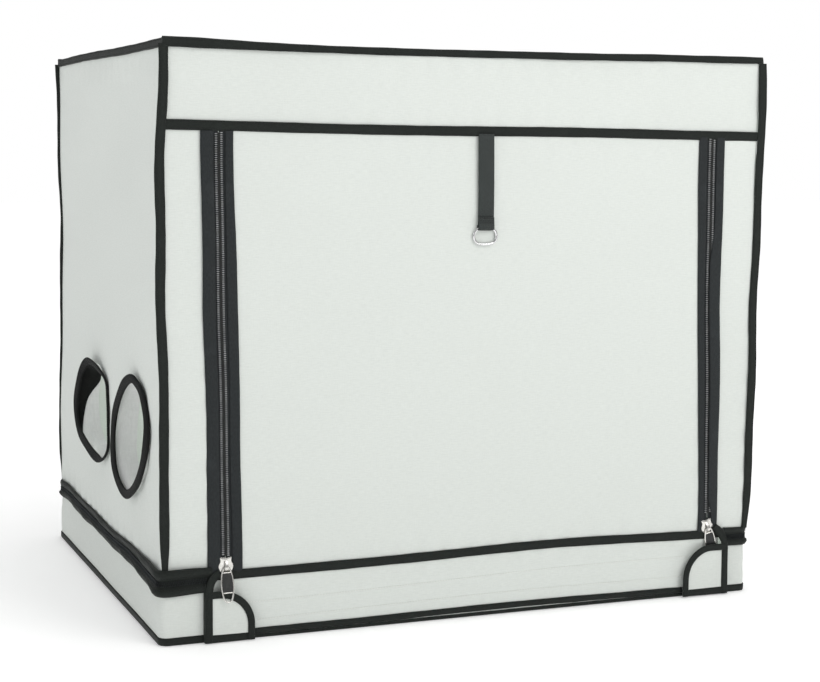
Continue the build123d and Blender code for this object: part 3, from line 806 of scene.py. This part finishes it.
def level_tape(piece, path, width, thick, wander, lift, rows, thread=1, pitch=3.2):
    """A tape lying level along the front, with its stitch rows."""
    strip(piece, path, UP, FRONT, width, thick, wander=wander)
    for dz in rows:
        stitches(piece, path + [0, -lift, dz], FRONT, thread, pitch)


def header_tape():
    piece = Piece("header_seam_tape", ["tape", "thread"])
    x = span(-HW + 1, HW - 1, 5)
    rise = np.interp(x, (-400, -280, -146, -12, 122, 255, 400), (4.2, 4.0, 3.2, 2.0, 1.4, 1.0, 1.1))
    z = SEAM_Z + 0.7 * np.sin(x / 96.0) + rise
    p = np.column_stack([x, -HD - 1.2 - front_height(x, z) * 0.8, z])
    level_tape(piece, p, 12.0, 2.2, 0.03, 1.15, (-4.2, 4.2))
    return piece.build()


# ------------------------------------------------------------------ the door
def section_ends():
    total = ROLL_Z - SKIRT_LOW
    first = (total + STEP * N_SECTIONS * (N_SECTIONS - 1) / 2) / N_SECTIONS
    z = [ROLL_Z]
    for k in range(N_SECTIONS):
        z.append(z[-1] - (first - STEP * k))
    return z


HINGE_Z = section_ends()
MID_Z = [(a + b) / 2 for a, b in zip(HINGE_Z[:-1], HINGE_Z[1:])]
DOOR_TOP = 603.5
PIECE_Z = list(zip([DOOR_TOP] + MID_Z[:-1], MID_Z[:-1] + [SKIRT_LOW]))
SKIRT_TOP = 77.0
SEAM_HIGH = 85.4


def bend_at(obj):
    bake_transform(obj)
    return obj


def door_edge(side, Z):
    """Where the door cloth ends beside a zip, or beside the skirt's open end."""
    reach = np.where(Z > SKIRT_TOP, 9.0, -18.5)
    return zip_x(side, Z) - side * reach


def door_surface(X, Z):
    h = front_height(X, Z)
    h = h + seam_pucker(Z - 80.0, X, 0.9, 18) * (Z > 60)
    h = h + 0.9 * np.exp(-(((Z - 42.0) / 16.0) ** 2)) * (1 + 0.5 * np.sin(X / 77.0))
    edge = np.minimum(np.abs(X - zip_x(-1, Z)), np.abs(X - zip_x(1, Z)))
    h = h + seam_pucker(edge - 20.0, Z, 0.8, 20)
    return -HD - 0.25 - h


def z_rows(hi, lo, step=4.0):
    return np.linspace(hi, lo, max(3, int(round((hi - lo) / step)) + 1))


def door_cloth(k):
    hi, lo = PIECE_Z[k]
    z = z_rows(hi, lo)
    if lo < SKIRT_TOP < hi:
        z = np.unique(np.concatenate([z, [SKIRT_TOP + 0.2, SKIRT_TOP - 0.2]]))[::-1]
    piece = Piece(f"door_cloth_{k + 1:02d}", ["cloth", "thread_white"])
    T = np.linspace(0, 1, 131)
    Z, TT = np.meshgrid(z, T, indexing="ij")
    X = door_edge(-1, Z) + (door_edge(1, Z) - door_edge(-1, Z)) * TT
    Y = door_surface(X, Z)
    piece.add(np.stack([X, Y, Z], -1), grid_faces(len(z), len(T), flip=True), flat_uv(X, Z))
    for row, phase in ((47.5, 0.0), (24.0, 1.5)):
        if lo < row <= hi:
            x = span(-292, 306, 4)
            zz = row + 1.8 * np.sin(x / 160.0 + phase) + (x + 100) * 0.006
            zz = np.clip(zz, lo + 0.2, hi - 0.2)
            p = np.column_stack([x, door_surface(x, zz) - 0.15, zz])
            stitches(piece, p, FRONT, 1, 3.6, (1.45, 0.42, 0.30))
    return piece.build()


def cut(z_hi, z_lo, lo, hi):
    a, b = min(z_hi, hi), max(z_lo, lo)
    return (a, b) if a - b > 0.6 else None


def ease(v, a, b):
    t = np.clip((v - a) / (b - a), 0, 1)
    return t * t * (3 - 2 * t)


def bound_edge(side, away, z):
    """Near and far edge of a zip's binding, from its centre line, and how far it folds over the chain."""
    z = np.asarray(z, float)
    if side < 0:
        if away:
            return 5.8 + 0 * z, 21.6 + 0 * z, 0 * z
        return 7.6 + 0 * z, 20.6 - 3.2 * ease(z, 420, 595), 0 * z
    fold = ease(z, 505, 430) * (0.25 + 0.75 * ease(z, 104, 130))
    slim = ease(z, 595, 100)
    if away:
        return 6.6 - 7.2 * fold, 19.2 - 4.4 * slim, fold
    return 7.0 - 1.0 * slim, 19.0 - 4.4 * slim, 0 * z


ZIP_MATS = ["tape", "ziptape", "coil", "thread"]
TAPE, ZIPTAPE, COIL, THREAD = range(4)


def zip_half(piece, side, away, z_hi, z_lo):
    """One half of a door zip between two heights: binding, tape, coil and stitch rows."""
    d = side if away else -side
    part = cut(z_hi, z_lo, SEAM_HIGH - 3, DOOR_TOP)
    if part:
        z = z_rows(*part)
        x = zip_x(side, z)
        wob = 0.4 * np.sin(z / 41.0 + side)
        near, far, fold = bound_edge(side, away, z)
        across = unit(points(d, 0.13 * fold, 0.0))
        normal = unit(np.cross(across, [0, 0, -d]))
        front = -HD - 1.35 - 1.5 * fold
        mid = np.column_stack([x + d * ((near + far) / 2 + wob), front, z])
        strip(piece, mid, across, normal, far - near, 2.4, ZIPTAPE, wander=0.02)
        rows = (near + 2.8, far - 4.6, far - 2.0) if away else (near + 2.6, far - 2.2)
        for off in rows:
            off = off - (near + far) / 2
            row = mid + across * off[:, None] + normal * 1.18
            stitches(piece, row, normal, THREAD, 3.1, (1.2, 0.42, 0.2))
        inner = points(x + d * 5.0, -HD - 0.35, z)
        strip(piece, inner, (d, 0, 0), FRONT, 9.6, 0.7, ZIPTAPE)
    part = cut(z_hi, z_lo, CHAIN_LOW[side], DOOR_TOP - 2)
    if part:
        pitch = 2.5
        first, last = math.floor(part[1] / pitch) - 1, math.floor(part[0] / pitch) + 1
        z = (np.arange(first, last) + (0 if away else 0.5)) * pitch
        z = z[(z > part[1]) & (z <= part[0])]
        at = points(zip_x(side, z) - d * 0.55, -HD - 1.75, z)
        # door zip teeth take the light coil grey, painted highlight for their glints
        copies(piece, TOOTH_V, TOOTH_F, at, (d, 0, 0), FRONT, (0, 0, d), COIL)
        zz = z_rows(*part)
        core = points(zip_x(side, zz) + d * 0.9, -HD - 2.0, zz)
        strip(piece, core, (d, 0, 0), FRONT, 2.2, 1.3, THREAD, n=8)


def door_trim(k):
    hi, lo = PIECE_Z[k]
    piece = Piece(f"door_trim_{k + 1:02d}", ZIP_MATS)
    for side in (-1, 1):
        zip_half(piece, side, False, hi, lo)
    if lo < 80 < hi:
        x = span(float(zip_x(-1, 80)) - 18, float(zip_x(1, 80)) + 18, 5)
        z = 79.4 + 0.7 * np.sin(x / 71.0)
        p = np.column_stack([x, door_surface(x, z) - 1.0, z])
        level_tape(piece, p, 11.4, 2.4, 0.04, 1.25, (-3.9, 3.9), THREAD)
    if lo <= 8.5 < hi:
        x = span(float(zip_x(-1, 8)) - 18, float(zip_x(1, 8)) + 18, 5)
        z = 9.2 + 0.6 * np.sin(x / 83.0 + 1)
        p = np.column_stack([x, door_surface(x, z) - 0.6, z])
        level_tape(piece, p, 7.6, 2.2, 0.05, 1.15, (2.2,), THREAD)
    return piece.build()


def fixed_zip(side):
    piece = Piece(f"fixed_zip_{SIDE[side]}", ZIP_MATS)
    zip_half(piece, side, True, DOOR_TOP, 78.0)
    return piece.build()


def sill():
    def place(X, Z):
        return np.stack([X, -HD + 2.7 + 0.15 * np.sin(X / 50.0), Z], -1)

    return wall_grid("sill_cloth", span(-364, 364, 8), span(1.3, 62, 5), place, mat="base")


def floor_sheet():
    def place(X, Y):
        return np.stack([X, Y, 0.9 + 0.35 * (1 + sag(X, Y, 500.0, 400.0, 9))], -1)

    x, y = span(-HW + 1.5, HW - 1.5, 9), span(-HD + 1.5, HD - 1.5, 9)
    return wall_grid("floor_cloth", x, y, place, mat="base", flip=True)


# ------------------------------------------------------------------ pockets
POCKET_CURL = {
    -1: ((0, 1.0), (0, 30), (0, 55), (-0.4, 66), (-2.2, 74), (-7.0, 80.0), (-14.0, 83.0)),
    1: ((0, 1.0), (0, 30), (0, 55), (-0.3, 68), (-3.0, 77), (-9.0, 84.0), (-15.5, 89.5)),
}


def smooth_line(points, step=3.0):
    """Open line through points, evenly sampled and eased at its corners."""
    p = np.array(points, float)
    s = along(p)
    q = np.linspace(0, s[-1], max(4, int(s[-1] / step)))
    r = sample(q, s, p)
    for _ in range(6):
        r[1:-1] = (r[:-2] + 2 * r[1:-1] + r[2:]) / 4
    return r


def pocket(side):
    """Quarter-round corner pocket with its bound edges and side strip."""
    name = SIDE[side]
    outer, inner, top = (348.8, 288.0, 62.5) if side < 0 else (368.0, 300.0, 66.5)
    lo, r = 1.2, 43.0
    cx, cz = inner + r, top - r
    front = -HD - 7.6
    s = np.linspace(0, (cz - lo) + r * math.pi / 2, 30)
    a = np.clip((s - (cz - lo)) / r, 0, math.pi / 2)
    rim_x = np.where(s < cz - lo, inner, cx - r * np.cos(a))
    rim_z = np.where(s < cz - lo, lo + s, cz + r * np.sin(a))
    U, _ = np.meshgrid(np.linspace(0, 1, 22), s, indexing="ij")
    X = outer + (rim_x[None, :] - outer) * U
    Z = np.broadcast_to(rim_z[None, :], U.shape)
    Y = front - 0.8 * np.sin(math.pi * U) * np.sin(math.pi * Z / top)
    piece = Piece(f"pocket_{name}_cloth", ["base"])
    X = side * X
    piece.add(np.stack([X, Y, Z], -1), grid_faces(22, len(s), flip=side < 0), flat_uv(X, Z))
    face = piece.build()

    trim = Piece(f"pocket_{name}_tape", ["tape", "thread"])
    tail = np.linspace(cx, outer - 4, 8)[1:]
    px, pz = np.concatenate([rim_x, tail]), np.concatenate([rim_z, np.full(7, top)])
    path = points(side * px, front - 1.0, pz)
    tan = unit(np.gradient(path, axis=0))
    inward = unit(np.cross(tan, [0, -1, 0]))
    inward = np.where((inward @ np.array([side * 1.0, 0, -0.5]) > 0)[:, None], inward, -inward)
    strip(trim, path + inward * 4.0, inward, FRONT, 8.8, 2.2, wander=0.03)
    for off in (1.8, 6.4):
        stitches(trim, path + inward * off + [0, -1.12, 0], FRONT, 1, 3.1)
    foot = line((side * (inner + 1), front + 0.6, 5.4), (side * (outer - 1), front - 0.2, 5.4), 4)
    level_tape(trim, foot, 9.6, 2.2, 0.03, 1.1, (3.0,), pitch=3.1)
    curl = smooth_line(POCKET_CURL[side])
    y = front - 0.4 + 4.2 * ease(curl[:, 1], 62, 84)
    path = np.column_stack([side * (outer - 4.6 + curl[:, 0]), y, curl[:, 1]])
    tan = unit(np.gradient(path, axis=0))
    acr = unit(np.cross(tan, [0, -1, 0]))
    width = 9.4 + (1.0 if side < 0 else 2.4) * ease(path[:, 2], 66, 80) - 3.5 * ease(path[:, 2], 82, 90)
    strip(trim, path, acr, FRONT, width, 3.0, wander=0.03)
    for off in (-0.28, 0.3):
        stitches(trim, path + acr * (off * width)[:, None] + [0, -1.5, 0], FRONT, 1, 3.1)
    zs = span(1.0, 72, 4)
    wall = points(side * (outer - 0.4), -HD - 4.2, zs)
    strip(trim, wall, FRONT, (side, 0, 0), 7.8, 1.6)
    return face, trim.build()


# ------------------------------------------------------------------ strap, ring, sliders
def strap():
    piece = Piece("tie_strap", ["web", "thread"])
    z = np.concatenate([span(604, 560, 4), span(556, 530, 2.6), span(526, 486.5, 3)])
    y = -HD - 3.0 - 0.35 * np.sin((z - 485) / 114.0 * math.pi)
    x = STRAP_X + 0.5 * np.sin(z / 60.0)
    p = np.column_stack([x, y, z])
    strip(piece, p, (1, 0, 0), FRONT, 21.6, 1.7, n=16, welded=True)
    loop = []
    for a in np.radians(np.linspace(-90, 90, 9)):
        loop.append((STRAP_X, -303.9 - 2.75 * math.sin(a), 488.7 - 2.75 * math.cos(a)))
    tail = [(STRAP_X, -306.6, zz) for zz in (491, 494, 497, 500, 502)]
    tail = [(a, b + 0.10 * (c - 489), c) for a, b, c in tail]
    path = np.array([(STRAP_X, -301.35, 492.0)] + loop + tail)
    t = unit(np.gradient(path, axis=0))
    nrm = unit(np.cross(t, [1, 0, 0]))
    strip(piece, path, (1, 0, 0), nrm, 21.4, 1.3, n=16, welded=True)
    for zz in (495.0, 497.5, 500.5):
        row = line((STRAP_X - 9.5, -306.6, zz), (STRAP_X + 9.5, -306.6, zz), 3)
        stitches(piece, row, FRONT, 1, 2.4)
    return piece.build()


def ring():
    piece = Piece("strap_oval_ring", ["chrome"])
    a, b, n = 15.2, 10.2, 56
    t = np.linspace(0, 2 * math.pi, n, endpoint=False)
    ex = np.sign(np.cos(t)) * np.abs(np.cos(t)) ** 0.72
    ez = np.sign(np.sin(t)) * np.abs(np.sin(t)) ** 0.85
    p = points(STRAP_X + a * ex, -303.9, 478.4 + b * ez)
    tube_wire(piece, p, 1.75, closed=True, n=12)
    return piece.build(warp=None)


# right half of a slider's outline: x and z
CROWN = ((3.4, 0.4), (6.2, 2.4), (8.6, 6.6), (9.2, 9.8), (8.5, 12.6), (7.0, 14.8), (6.5, 16.6),
         (7.0, 18.6), (7.5, 20.9), (3.6, 20.5), (1.2, 19.8))
PIVOT = (0, -5.4, 7.5)


def slider_shape(piece):
    """Zip slider about its foot at the origin: zip along z, face towards -y."""
    right = np.array(CROWN)
    o = np.vstack([right, right[::-1] * [-1, 1]])
    dense = np.empty((2 * len(o), 2))
    dense[0::2], dense[1::2] = o, (o + np.roll(o, -1, 0)) / 2
    dense = (np.roll(dense, 1, 0) + 3 * dense + np.roll(dense, -1, 0)) / 5
    prism(piece, dense, -4.1, -2.4, rim=0.5)
    prism(piece, dense, 1.9, 3.2, rim=0.4)
    prism(piece, [(-0.9, 14.5), (0.9, 14.5), (0.9, 20.0), (-0.9, 20.0)], -3.0, 2.4)
    bridge = ((-3.7, 4.6), (-5.6, 4.7), (-7.0, 5.6), (-7.5, 7.6), (-6.7, 10.4), (-5.6, 13.4), (-4.6, 15.4),
              (-3.7, 16.0))
    arch = smooth_line([(0, y, z) for y, z in bridge], 1.0)
    t = unit(np.gradient(arch, axis=0))
    strip(piece, arch, (1, 0, 0), unit(np.cross(t, [1, 0, 0])), 5.0, 1.5, n=10)


def pull_shape(frame_piece, insert_piece):
    """Zip pull hanging from its pin at the origin: barrel-shaped wire, two bars and a grip between."""
    z = np.array([1.6, 1.2, -3.0, -8.0, -14.0, -19.0, -24.0, -29.0, -33.5, -37.0, -39.4, -40.0])
    w = np.array([0.0, 3.2, 5.0, 6.3, 7.1, 7.3, 7.1, 6.5, 5.7, 4.4, 2.2, 0.0])
    s = along(np.column_stack([w, z]))
    q = np.linspace(0, s[-1], 34)
    right = points(np.interp(q, s, w), 0.0, np.interp(q, s, z))
    loop = np.vstack([right, right[::-1][1:-1] * [-1, 1, 1]])
    for _ in range(2):
        loop = (np.roll(loop, 1, 0) + 2 * loop + np.roll(loop, -1, 0)) / 4
    tube_wire(frame_piece, loop, 1.1, closed=True, n=10)
    for bar, half in ((-5.2, 5.4), (-28.6, 6.4)):
        tube_wire(frame_piece, line((-half, 0, bar), (half, 0, bar), 2), 1.0, n=8)
    if insert_piece is not None:
        right = [(4.9, -5.8), (5.8, -10), (6.3, -16), (6.4, -20), (5.9, -27.8)]
        outline = [(-4.9, -5.8)] + right + [(-x, z) for x, z in right[:0:-1]]
        prism(insert_piece, outline, -1.2, 1.2, rim=0.35)


def shift(x, y, z):
    return Matrix.Translation(Vector((x, y, z)) * MM)


def turn(degrees, axis):
    return Matrix.Rotation(math.radians(degrees), 4, axis)


def put_at(obj, m, body, node):
    obj.matrix_world = m
    bpy.context.view_layer.update()
    attach(obj, body, [node])


def door_slider(side):
    name = SIDE[side]
    lean = Matrix.Rotation(math.atan(ZIP_LEAN[side]), 4, "Y")
    base = shift(float(zip_x(side, SLIDER_FOOT_Z)), -HD, SLIDER_FOOT_Z) @ lean
    pivot = shift(*PIVOT)
    base = base @ pivot @ turn({-1: 0.0, 1: -12.0}[side], "Y") @ pivot.inverted()
    pin = base @ pivot @ turn({-1: -12.0, 1: 2.6}[side], "X")
    body = Piece(f"zip_slider_{name}_body", ["nickel"])
    slider_shape(body)
    put_at(body.build(warp=None, sharp=40), base, f"zip_slider_{name}", f"slider_{name}")
    wire, grip = Piece(f"zip_pull_{name}_frame", ["nickel"]), Piece(f"zip_pull_{name}_grip", ["rubber"])
    pull_shape(wire, grip)
    put_at(wire.build(warp=None), pin, f"zip_pull_{name}", f"pull_{name}")
    put_at(grip.build(warp=None, sharp=35), pin, f"zip_pull_{name}", f"pull_insert_{name}")


def ring_slider():
    base = shift(HW + 0.8, 240.0, RING_Z) @ turn(90, "X") @ turn(90, "Z")
    body = Piece("ring_zip_slider_body", ["nickel"])
    slider_shape(body)
    put_at(body.build(warp=None, sharp=40), base, "ring_slider", "ring_zip_slider")
    wire = Piece("ring_zip_pull_frame", ["nickel", "rubber"])
    pull_shape(wire, None)
    put_at(wire.build(warp=None), base @ shift(*PIVOT), "ring_pull", "ring_zip_pull")


# ------------------------------------------------------------------ duct collars
def closed_curve(points, n):
    """Smooth closed curve through points, evenly sampled."""
    p = np.array(points, float)
    k = len(p)
    t = np.linspace(0, k, 40 * k, endpoint=False)
    i = np.floor(t).astype(int)
    f = (t - i)[:, None]
    a, b, c, d = p[(i - 1) % k], p[i % k], p[(i + 1) % k], p[(i + 2) % k]
    q = 0.5 * (2 * b + (c - a) * f + (2 * a - 5 * b + 4 * c - d) * f**2 + (3 * b - a - 3 * c + d) * f**3)
    q = np.vstack([q, q[:1]])
    s = along(q)
    return sample(np.linspace(0, s[-1], n, endpoint=False), s, q)


def collar(which):
    """Soft sleeve through its round port to a slumped mouth, with a thick bound rim."""
    n = 96
    cy = DUCT_Y[which]
    m = closed_curve(MOUTH[which], n)
    mouth = np.column_stack([-HW - m[:, 0] - 1.5, m[:, 1], m[:, 2]])
    ang = np.unwrap(np.arctan2(mouth[:, 2] - DUCT_Z, mouth[:, 1] - cy))
    even = ang[0] + np.sign(ang[-1] - ang[0]) * np.linspace(0, 2 * math.pi, n, endpoint=False)
    root = 0.6 * ang + 0.4 * even
    ca, sa = np.cos(root), np.sin(root)
    hole = hole_radius(which, root)

    def circle(x, r):
        return points(x, cy + r * ca, DUCT_Z + r * sa)

    def loft(shrink, depth):
        """Rows from inside the tent to the mouth, drawn in by shrink; depth is where each line starts."""
        rows = [circle(-HW + x, hole - r - shrink) for x, r in ((14.0, 3.0), (6.0, 1.0), (0.0, 0.3))]
        inner = circle(-HW - 0.4, hole - shrink)
        end = mouth.copy()
        centre = mouth.mean(0)
        end[:, 1:] -= unit(end[:, 1:] - centre[1:]) * shrink
        for q in np.linspace(0.15, 1, 7):
            soft = q * q * (3 - 2 * q)
            lay = inner + (end - inner) * np.array([q, soft, soft])
            fold = 0.9 * math.sin(math.pi * q) * np.sin(7 * root + 3 * q)
            lay[:, 1] += fold * ca
            lay[:, 2] += fold * sa
            rows.append(lay)
        v = np.stack(rows, 1)
        if depth is None:
            return v
        t = np.linspace(0, v.shape[1] - 1, 12)
        k = depth[:, None] * (v.shape[1] - 1) + (1 - depth[:, None]) * t[None, :]
        lo = np.clip(np.floor(k).astype(int), 0, v.shape[1] - 2)
        f = (k - lo)[..., None]
        i = np.arange(n)[:, None]
        return v[i, lo] * (1 - f) + v[i, lo + 1] * f

    def closed_faces(rows, flip):
        f = []
        for i in range(n):
            j = (i + 1) % n
            for k in range(rows - 1):
                q = [i * rows + k, i * rows + k + 1, j * rows + k + 1, j * rows + k]
                f.append(q[::-1] if flip else q)
        return f

    piece = Piece(f"duct_sleeve_{which}", ["sleeve"])
    v = loft(0.0, None)
    rows = v.shape[1]
    uv = np.stack([np.repeat(np.arange(n) * 4.2, rows), np.tile(np.arange(rows) * 3.5, n)], 1)
    piece.add(v, closed_faces(rows, False), uv)
    sleeve = piece.build()

    trim = Piece(f"duct_rim_{which}", ["porttape", "thread"])
    at = np.arctan2(mouth[:, 2] - DUCT_Z, mouth[:, 1] - cy)
    if which == "rear":
        wide = 0.14 + 0.86 * np.clip(np.cos(at - math.radians(48)), 0, 1) ** 1.3
    else:
        wide = 0.16 + 0.10 * np.clip(np.cos(at - math.radians(80)), 0, 1) ** 2
    v = loft(1.0, 1 - wide)
    uv = np.stack([np.repeat(np.arange(n) * 4.2, 12), np.tile(np.arange(12) * 2.5, n)], 1)
    trim.add(v, closed_faces(12, True), uv)
    outw = mouth - mouth.mean(0)
    outw[:, 0] = 0
    tan = unit(np.roll(mouth, -1, 0) - np.roll(mouth, 1, 0))
    face = np.broadcast_to([-1.0, 0.0, 0.0], mouth.shape)
    rim = unit(np.cross(tan, face))
    rim = np.where((np.sum(rim * outw, 1) > 0)[:, None], rim, -rim)
    flare = -0.04 + 0.36 * rim[:, 1:2] if which == "front" else 0.35
    acr = unit(rim + flare * face)
    nrm = unit(np.cross(tan, acr))
    turns = np.arange(n) / n * 2 * math.pi
    width = (11.6 if which == "front" else 9.6) + 1.0 * np.sin(turns * 3) + 0.6 * np.sin(turns * 7)
    if which == "rear":
        width = width + 1.0 - 6.5 * np.clip((cy - 30 - mouth[:, 1]) / 25.0, 0, 1)
    strip(trim, mouth, acr, nrm, width, 3.2, closed=True, n=14)
    for sgn in (-1, 1):
        row = mouth + nrm * 1.6 * sgn + acr * (0.25 * width)[:, None]
        stitches(trim, np.vstack([row, row[:1]]), np.vstack([nrm, nrm[:1]]) * sgn, 1, 3.0)
    return sleeve, trim.build()


# ------------------------------------------------------------------ build all
left = attach(side_wall("left_wall_cloth", -1, 11, ("front", "rear")), "tent", ["left_wall"])
right = attach(side_wall("right_wall_cloth", 1, 12), "tent", ["right_wall"])
back = attach(back_wall(), "tent", ["back_wall"])
roof = attach(roof_panel(), "tent", ["roof_panel"])
head = attach(header(), "tent", ["header_panel"])
strips = {side: attach(front_strip(side), "tent", [f"front_strip_{name}"]) for side, name in SIDE.items()}
tray = attach(base_band(), "tent", ["base_walls"])
sill_cloth = attach(sill(), "tent", ["base_sill"])
floor_cloth = attach(floor_sheet(), "tent", ["base_floor"])
zip_band = attach(ring_zip(), "tent", ["ring_zip"])
ground = attach(ground_tape(), "tent", ["ground_binding"])
corner_tape = attach(corner_fins(), "tent", ["corner_bindings"])
roof_tape = attach(roof_fins(), "tent", ["roof_edge_binding"])
seam_tape = attach(header_tape(), "tent", ["header_seam_binding"])
for side, name in SIDE.items():
    attach(fixed_zip(side), "tent", [f"door_tape_{name}"])
    face, trim = pocket(side)
    attach(face, "tent", [f"pocket_{name}"])
    attach(trim, "tent")
for which in ("front", "rear"):
    sleeve, rim = collar(which)
    attach(sleeve, "tent", [f"duct_collar_{which}"])
    attach(rim, "tent")

for k in range(N_SECTIONS):
    panel = door_cloth(k)
    stands_for = [f"door_section_{k + 1:02d}"] + (["door_top_section"] if k == 0 else [])
    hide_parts(*stands_for)
    bend_at(panel)
    trim = door_trim(k)
    bend_at(trim)

webbing = strap()
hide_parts("strap_upper", "strap_lower")
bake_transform(webbing)
attach(ring(), "ring", ["strap_ring"])
door_slider(-1)
door_slider(1)
ring_slider()

# CAD tubes and connectors keep their shape and take a finish
FINISH = {"post_": "tube", "base_rail": "tube", "top_rail": "tube", "corner_connectors": "joint"}
for name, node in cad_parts.items():
    for start, key in FINISH.items():
        if name.startswith(start):
            node.data.materials.clear()
            node.data.materials.append(MAT[key])


# ------------------------------------------------------------------ stage, light, camera
def stage_floor():
    m, t, p = nodes_of("studio_floor")
    where = put(t, "ShaderNodeTexCoord").outputs["Object"]
    n = noise(t, where, 0.6, 2)
    t.links.new(ramp(t, n, [(0.3, (0.88, 0.88, 0.88)), (0.7, (0.90, 0.90, 0.90))]), p.inputs["Base Color"])
    p.inputs["Roughness"].default_value = 0.85
    # the floor glows: painted light, weakest near the tent (0.31 within 0.4 m) and strongest from 2 m out
    # (0.66); the glow also lights the tent from below
    p.inputs["Emission Color"].default_value = (1.0, 1.0, 1.0, 1)
    away = put(t, "ShaderNodeVectorMath", operation="LENGTH")
    t.links.new(where, away.inputs[0])
    t.links.new(mapped(t, away.outputs["Value"], 0.4, 2.0, 0.31, 0.66), p.inputs["Emission Strength"])
    me = bpy.data.meshes.new("studio_floor")
    w = 14.0
    corners = [(x * w, y * w, -0.0002) for x, y in ((-1, -1), (1, -1), (1, 1), (-1, 1))]
    me.from_pydata(corners, [], [(0, 1, 2, 3)])
    me.materials.append(m)
    new_object("studio_floor", me)


def area_light(name, at, aim, size, power, color=(1, 1, 1)):
    d = bpy.data.lights.new(name, "AREA")
    d.shape, d.size, d.size_y, d.energy, d.color = "RECTANGLE", size[0], size[1], power, color
    o = new_object(name, d)
    o.location = at
    o.rotation_mode = "QUATERNION"
    o.rotation_quaternion = (Vector(aim) - Vector(at)).to_track_quat("-Z", "Y")


stage_floor()
area_light("key", (0.9, -2.0, 2.0), (0.05, -0.3, 0.50), (1.5, 1.3), 21, (1.0, 0.995, 0.98))
area_light("fill_left", (-3.6, -1.6, 1.9), (0, 0, 0.40), (2.2, 2.2), 15, (0.97, 0.99, 1.0))
area_light("top", (0.2, 0.2, 3.6), (0, 0, 0.3), (3.0, 3.0), 42)
inside = bpy.data.lights.new("through_the_cloth", "POINT")
inside.energy, inside.shadow_soft_size = 3.4, 0.25
new_object("through_the_cloth", inside).location = (0.0, 0.05, 0.40)

world = bpy.data.worlds.new("studio")
bpy.context.scene.world = world
world.use_nodes = True
tree = world.node_tree
sky = tree.nodes["Background"].inputs
sky["Color"].default_value = (1.0, 1.0, 1.0, 1)
seen = put(tree, "ShaderNodeLightPath").outputs["Is Camera Ray"]
tree.links.new(mapped(tree, seen, 0, 1, 0.42, 1.0), sky["Strength"])
bpy.context.scene.view_settings.view_transform = "Standard"

cam_data = bpy.data.cameras.new("camera")
cam = new_object("camera", cam_data)
bpy.context.scene.camera = cam
AZ, EL, ROLL = math.radians(21.088), math.radians(-4.261), math.radians(0.638)
fwd = Vector((math.sin(AZ) * math.cos(EL), math.cos(AZ) * math.cos(EL), math.sin(EL)))
rgt = Vector((math.cos(AZ), -math.sin(AZ), 0))
upv = rgt.cross(fwd)
r2 = rgt * math.cos(ROLL) + upv * math.sin(ROLL)
u2 = upv * math.cos(ROLL) - rgt * math.sin(ROLL)
rot = Matrix((r2, u2, -fwd)).transposed()
cam.matrix_world = Matrix.Translation((-0.8923, -2.2207, 0.5900)) @ rot.to_4x4()
cam_data.sensor_width = 36.0
cam_data.lens = 1713.45 / 820 * 36.0
cam_data.shift_x = 0.057
cam_data.shift_y = -0.0844
cam_data.dof.use_dof = False
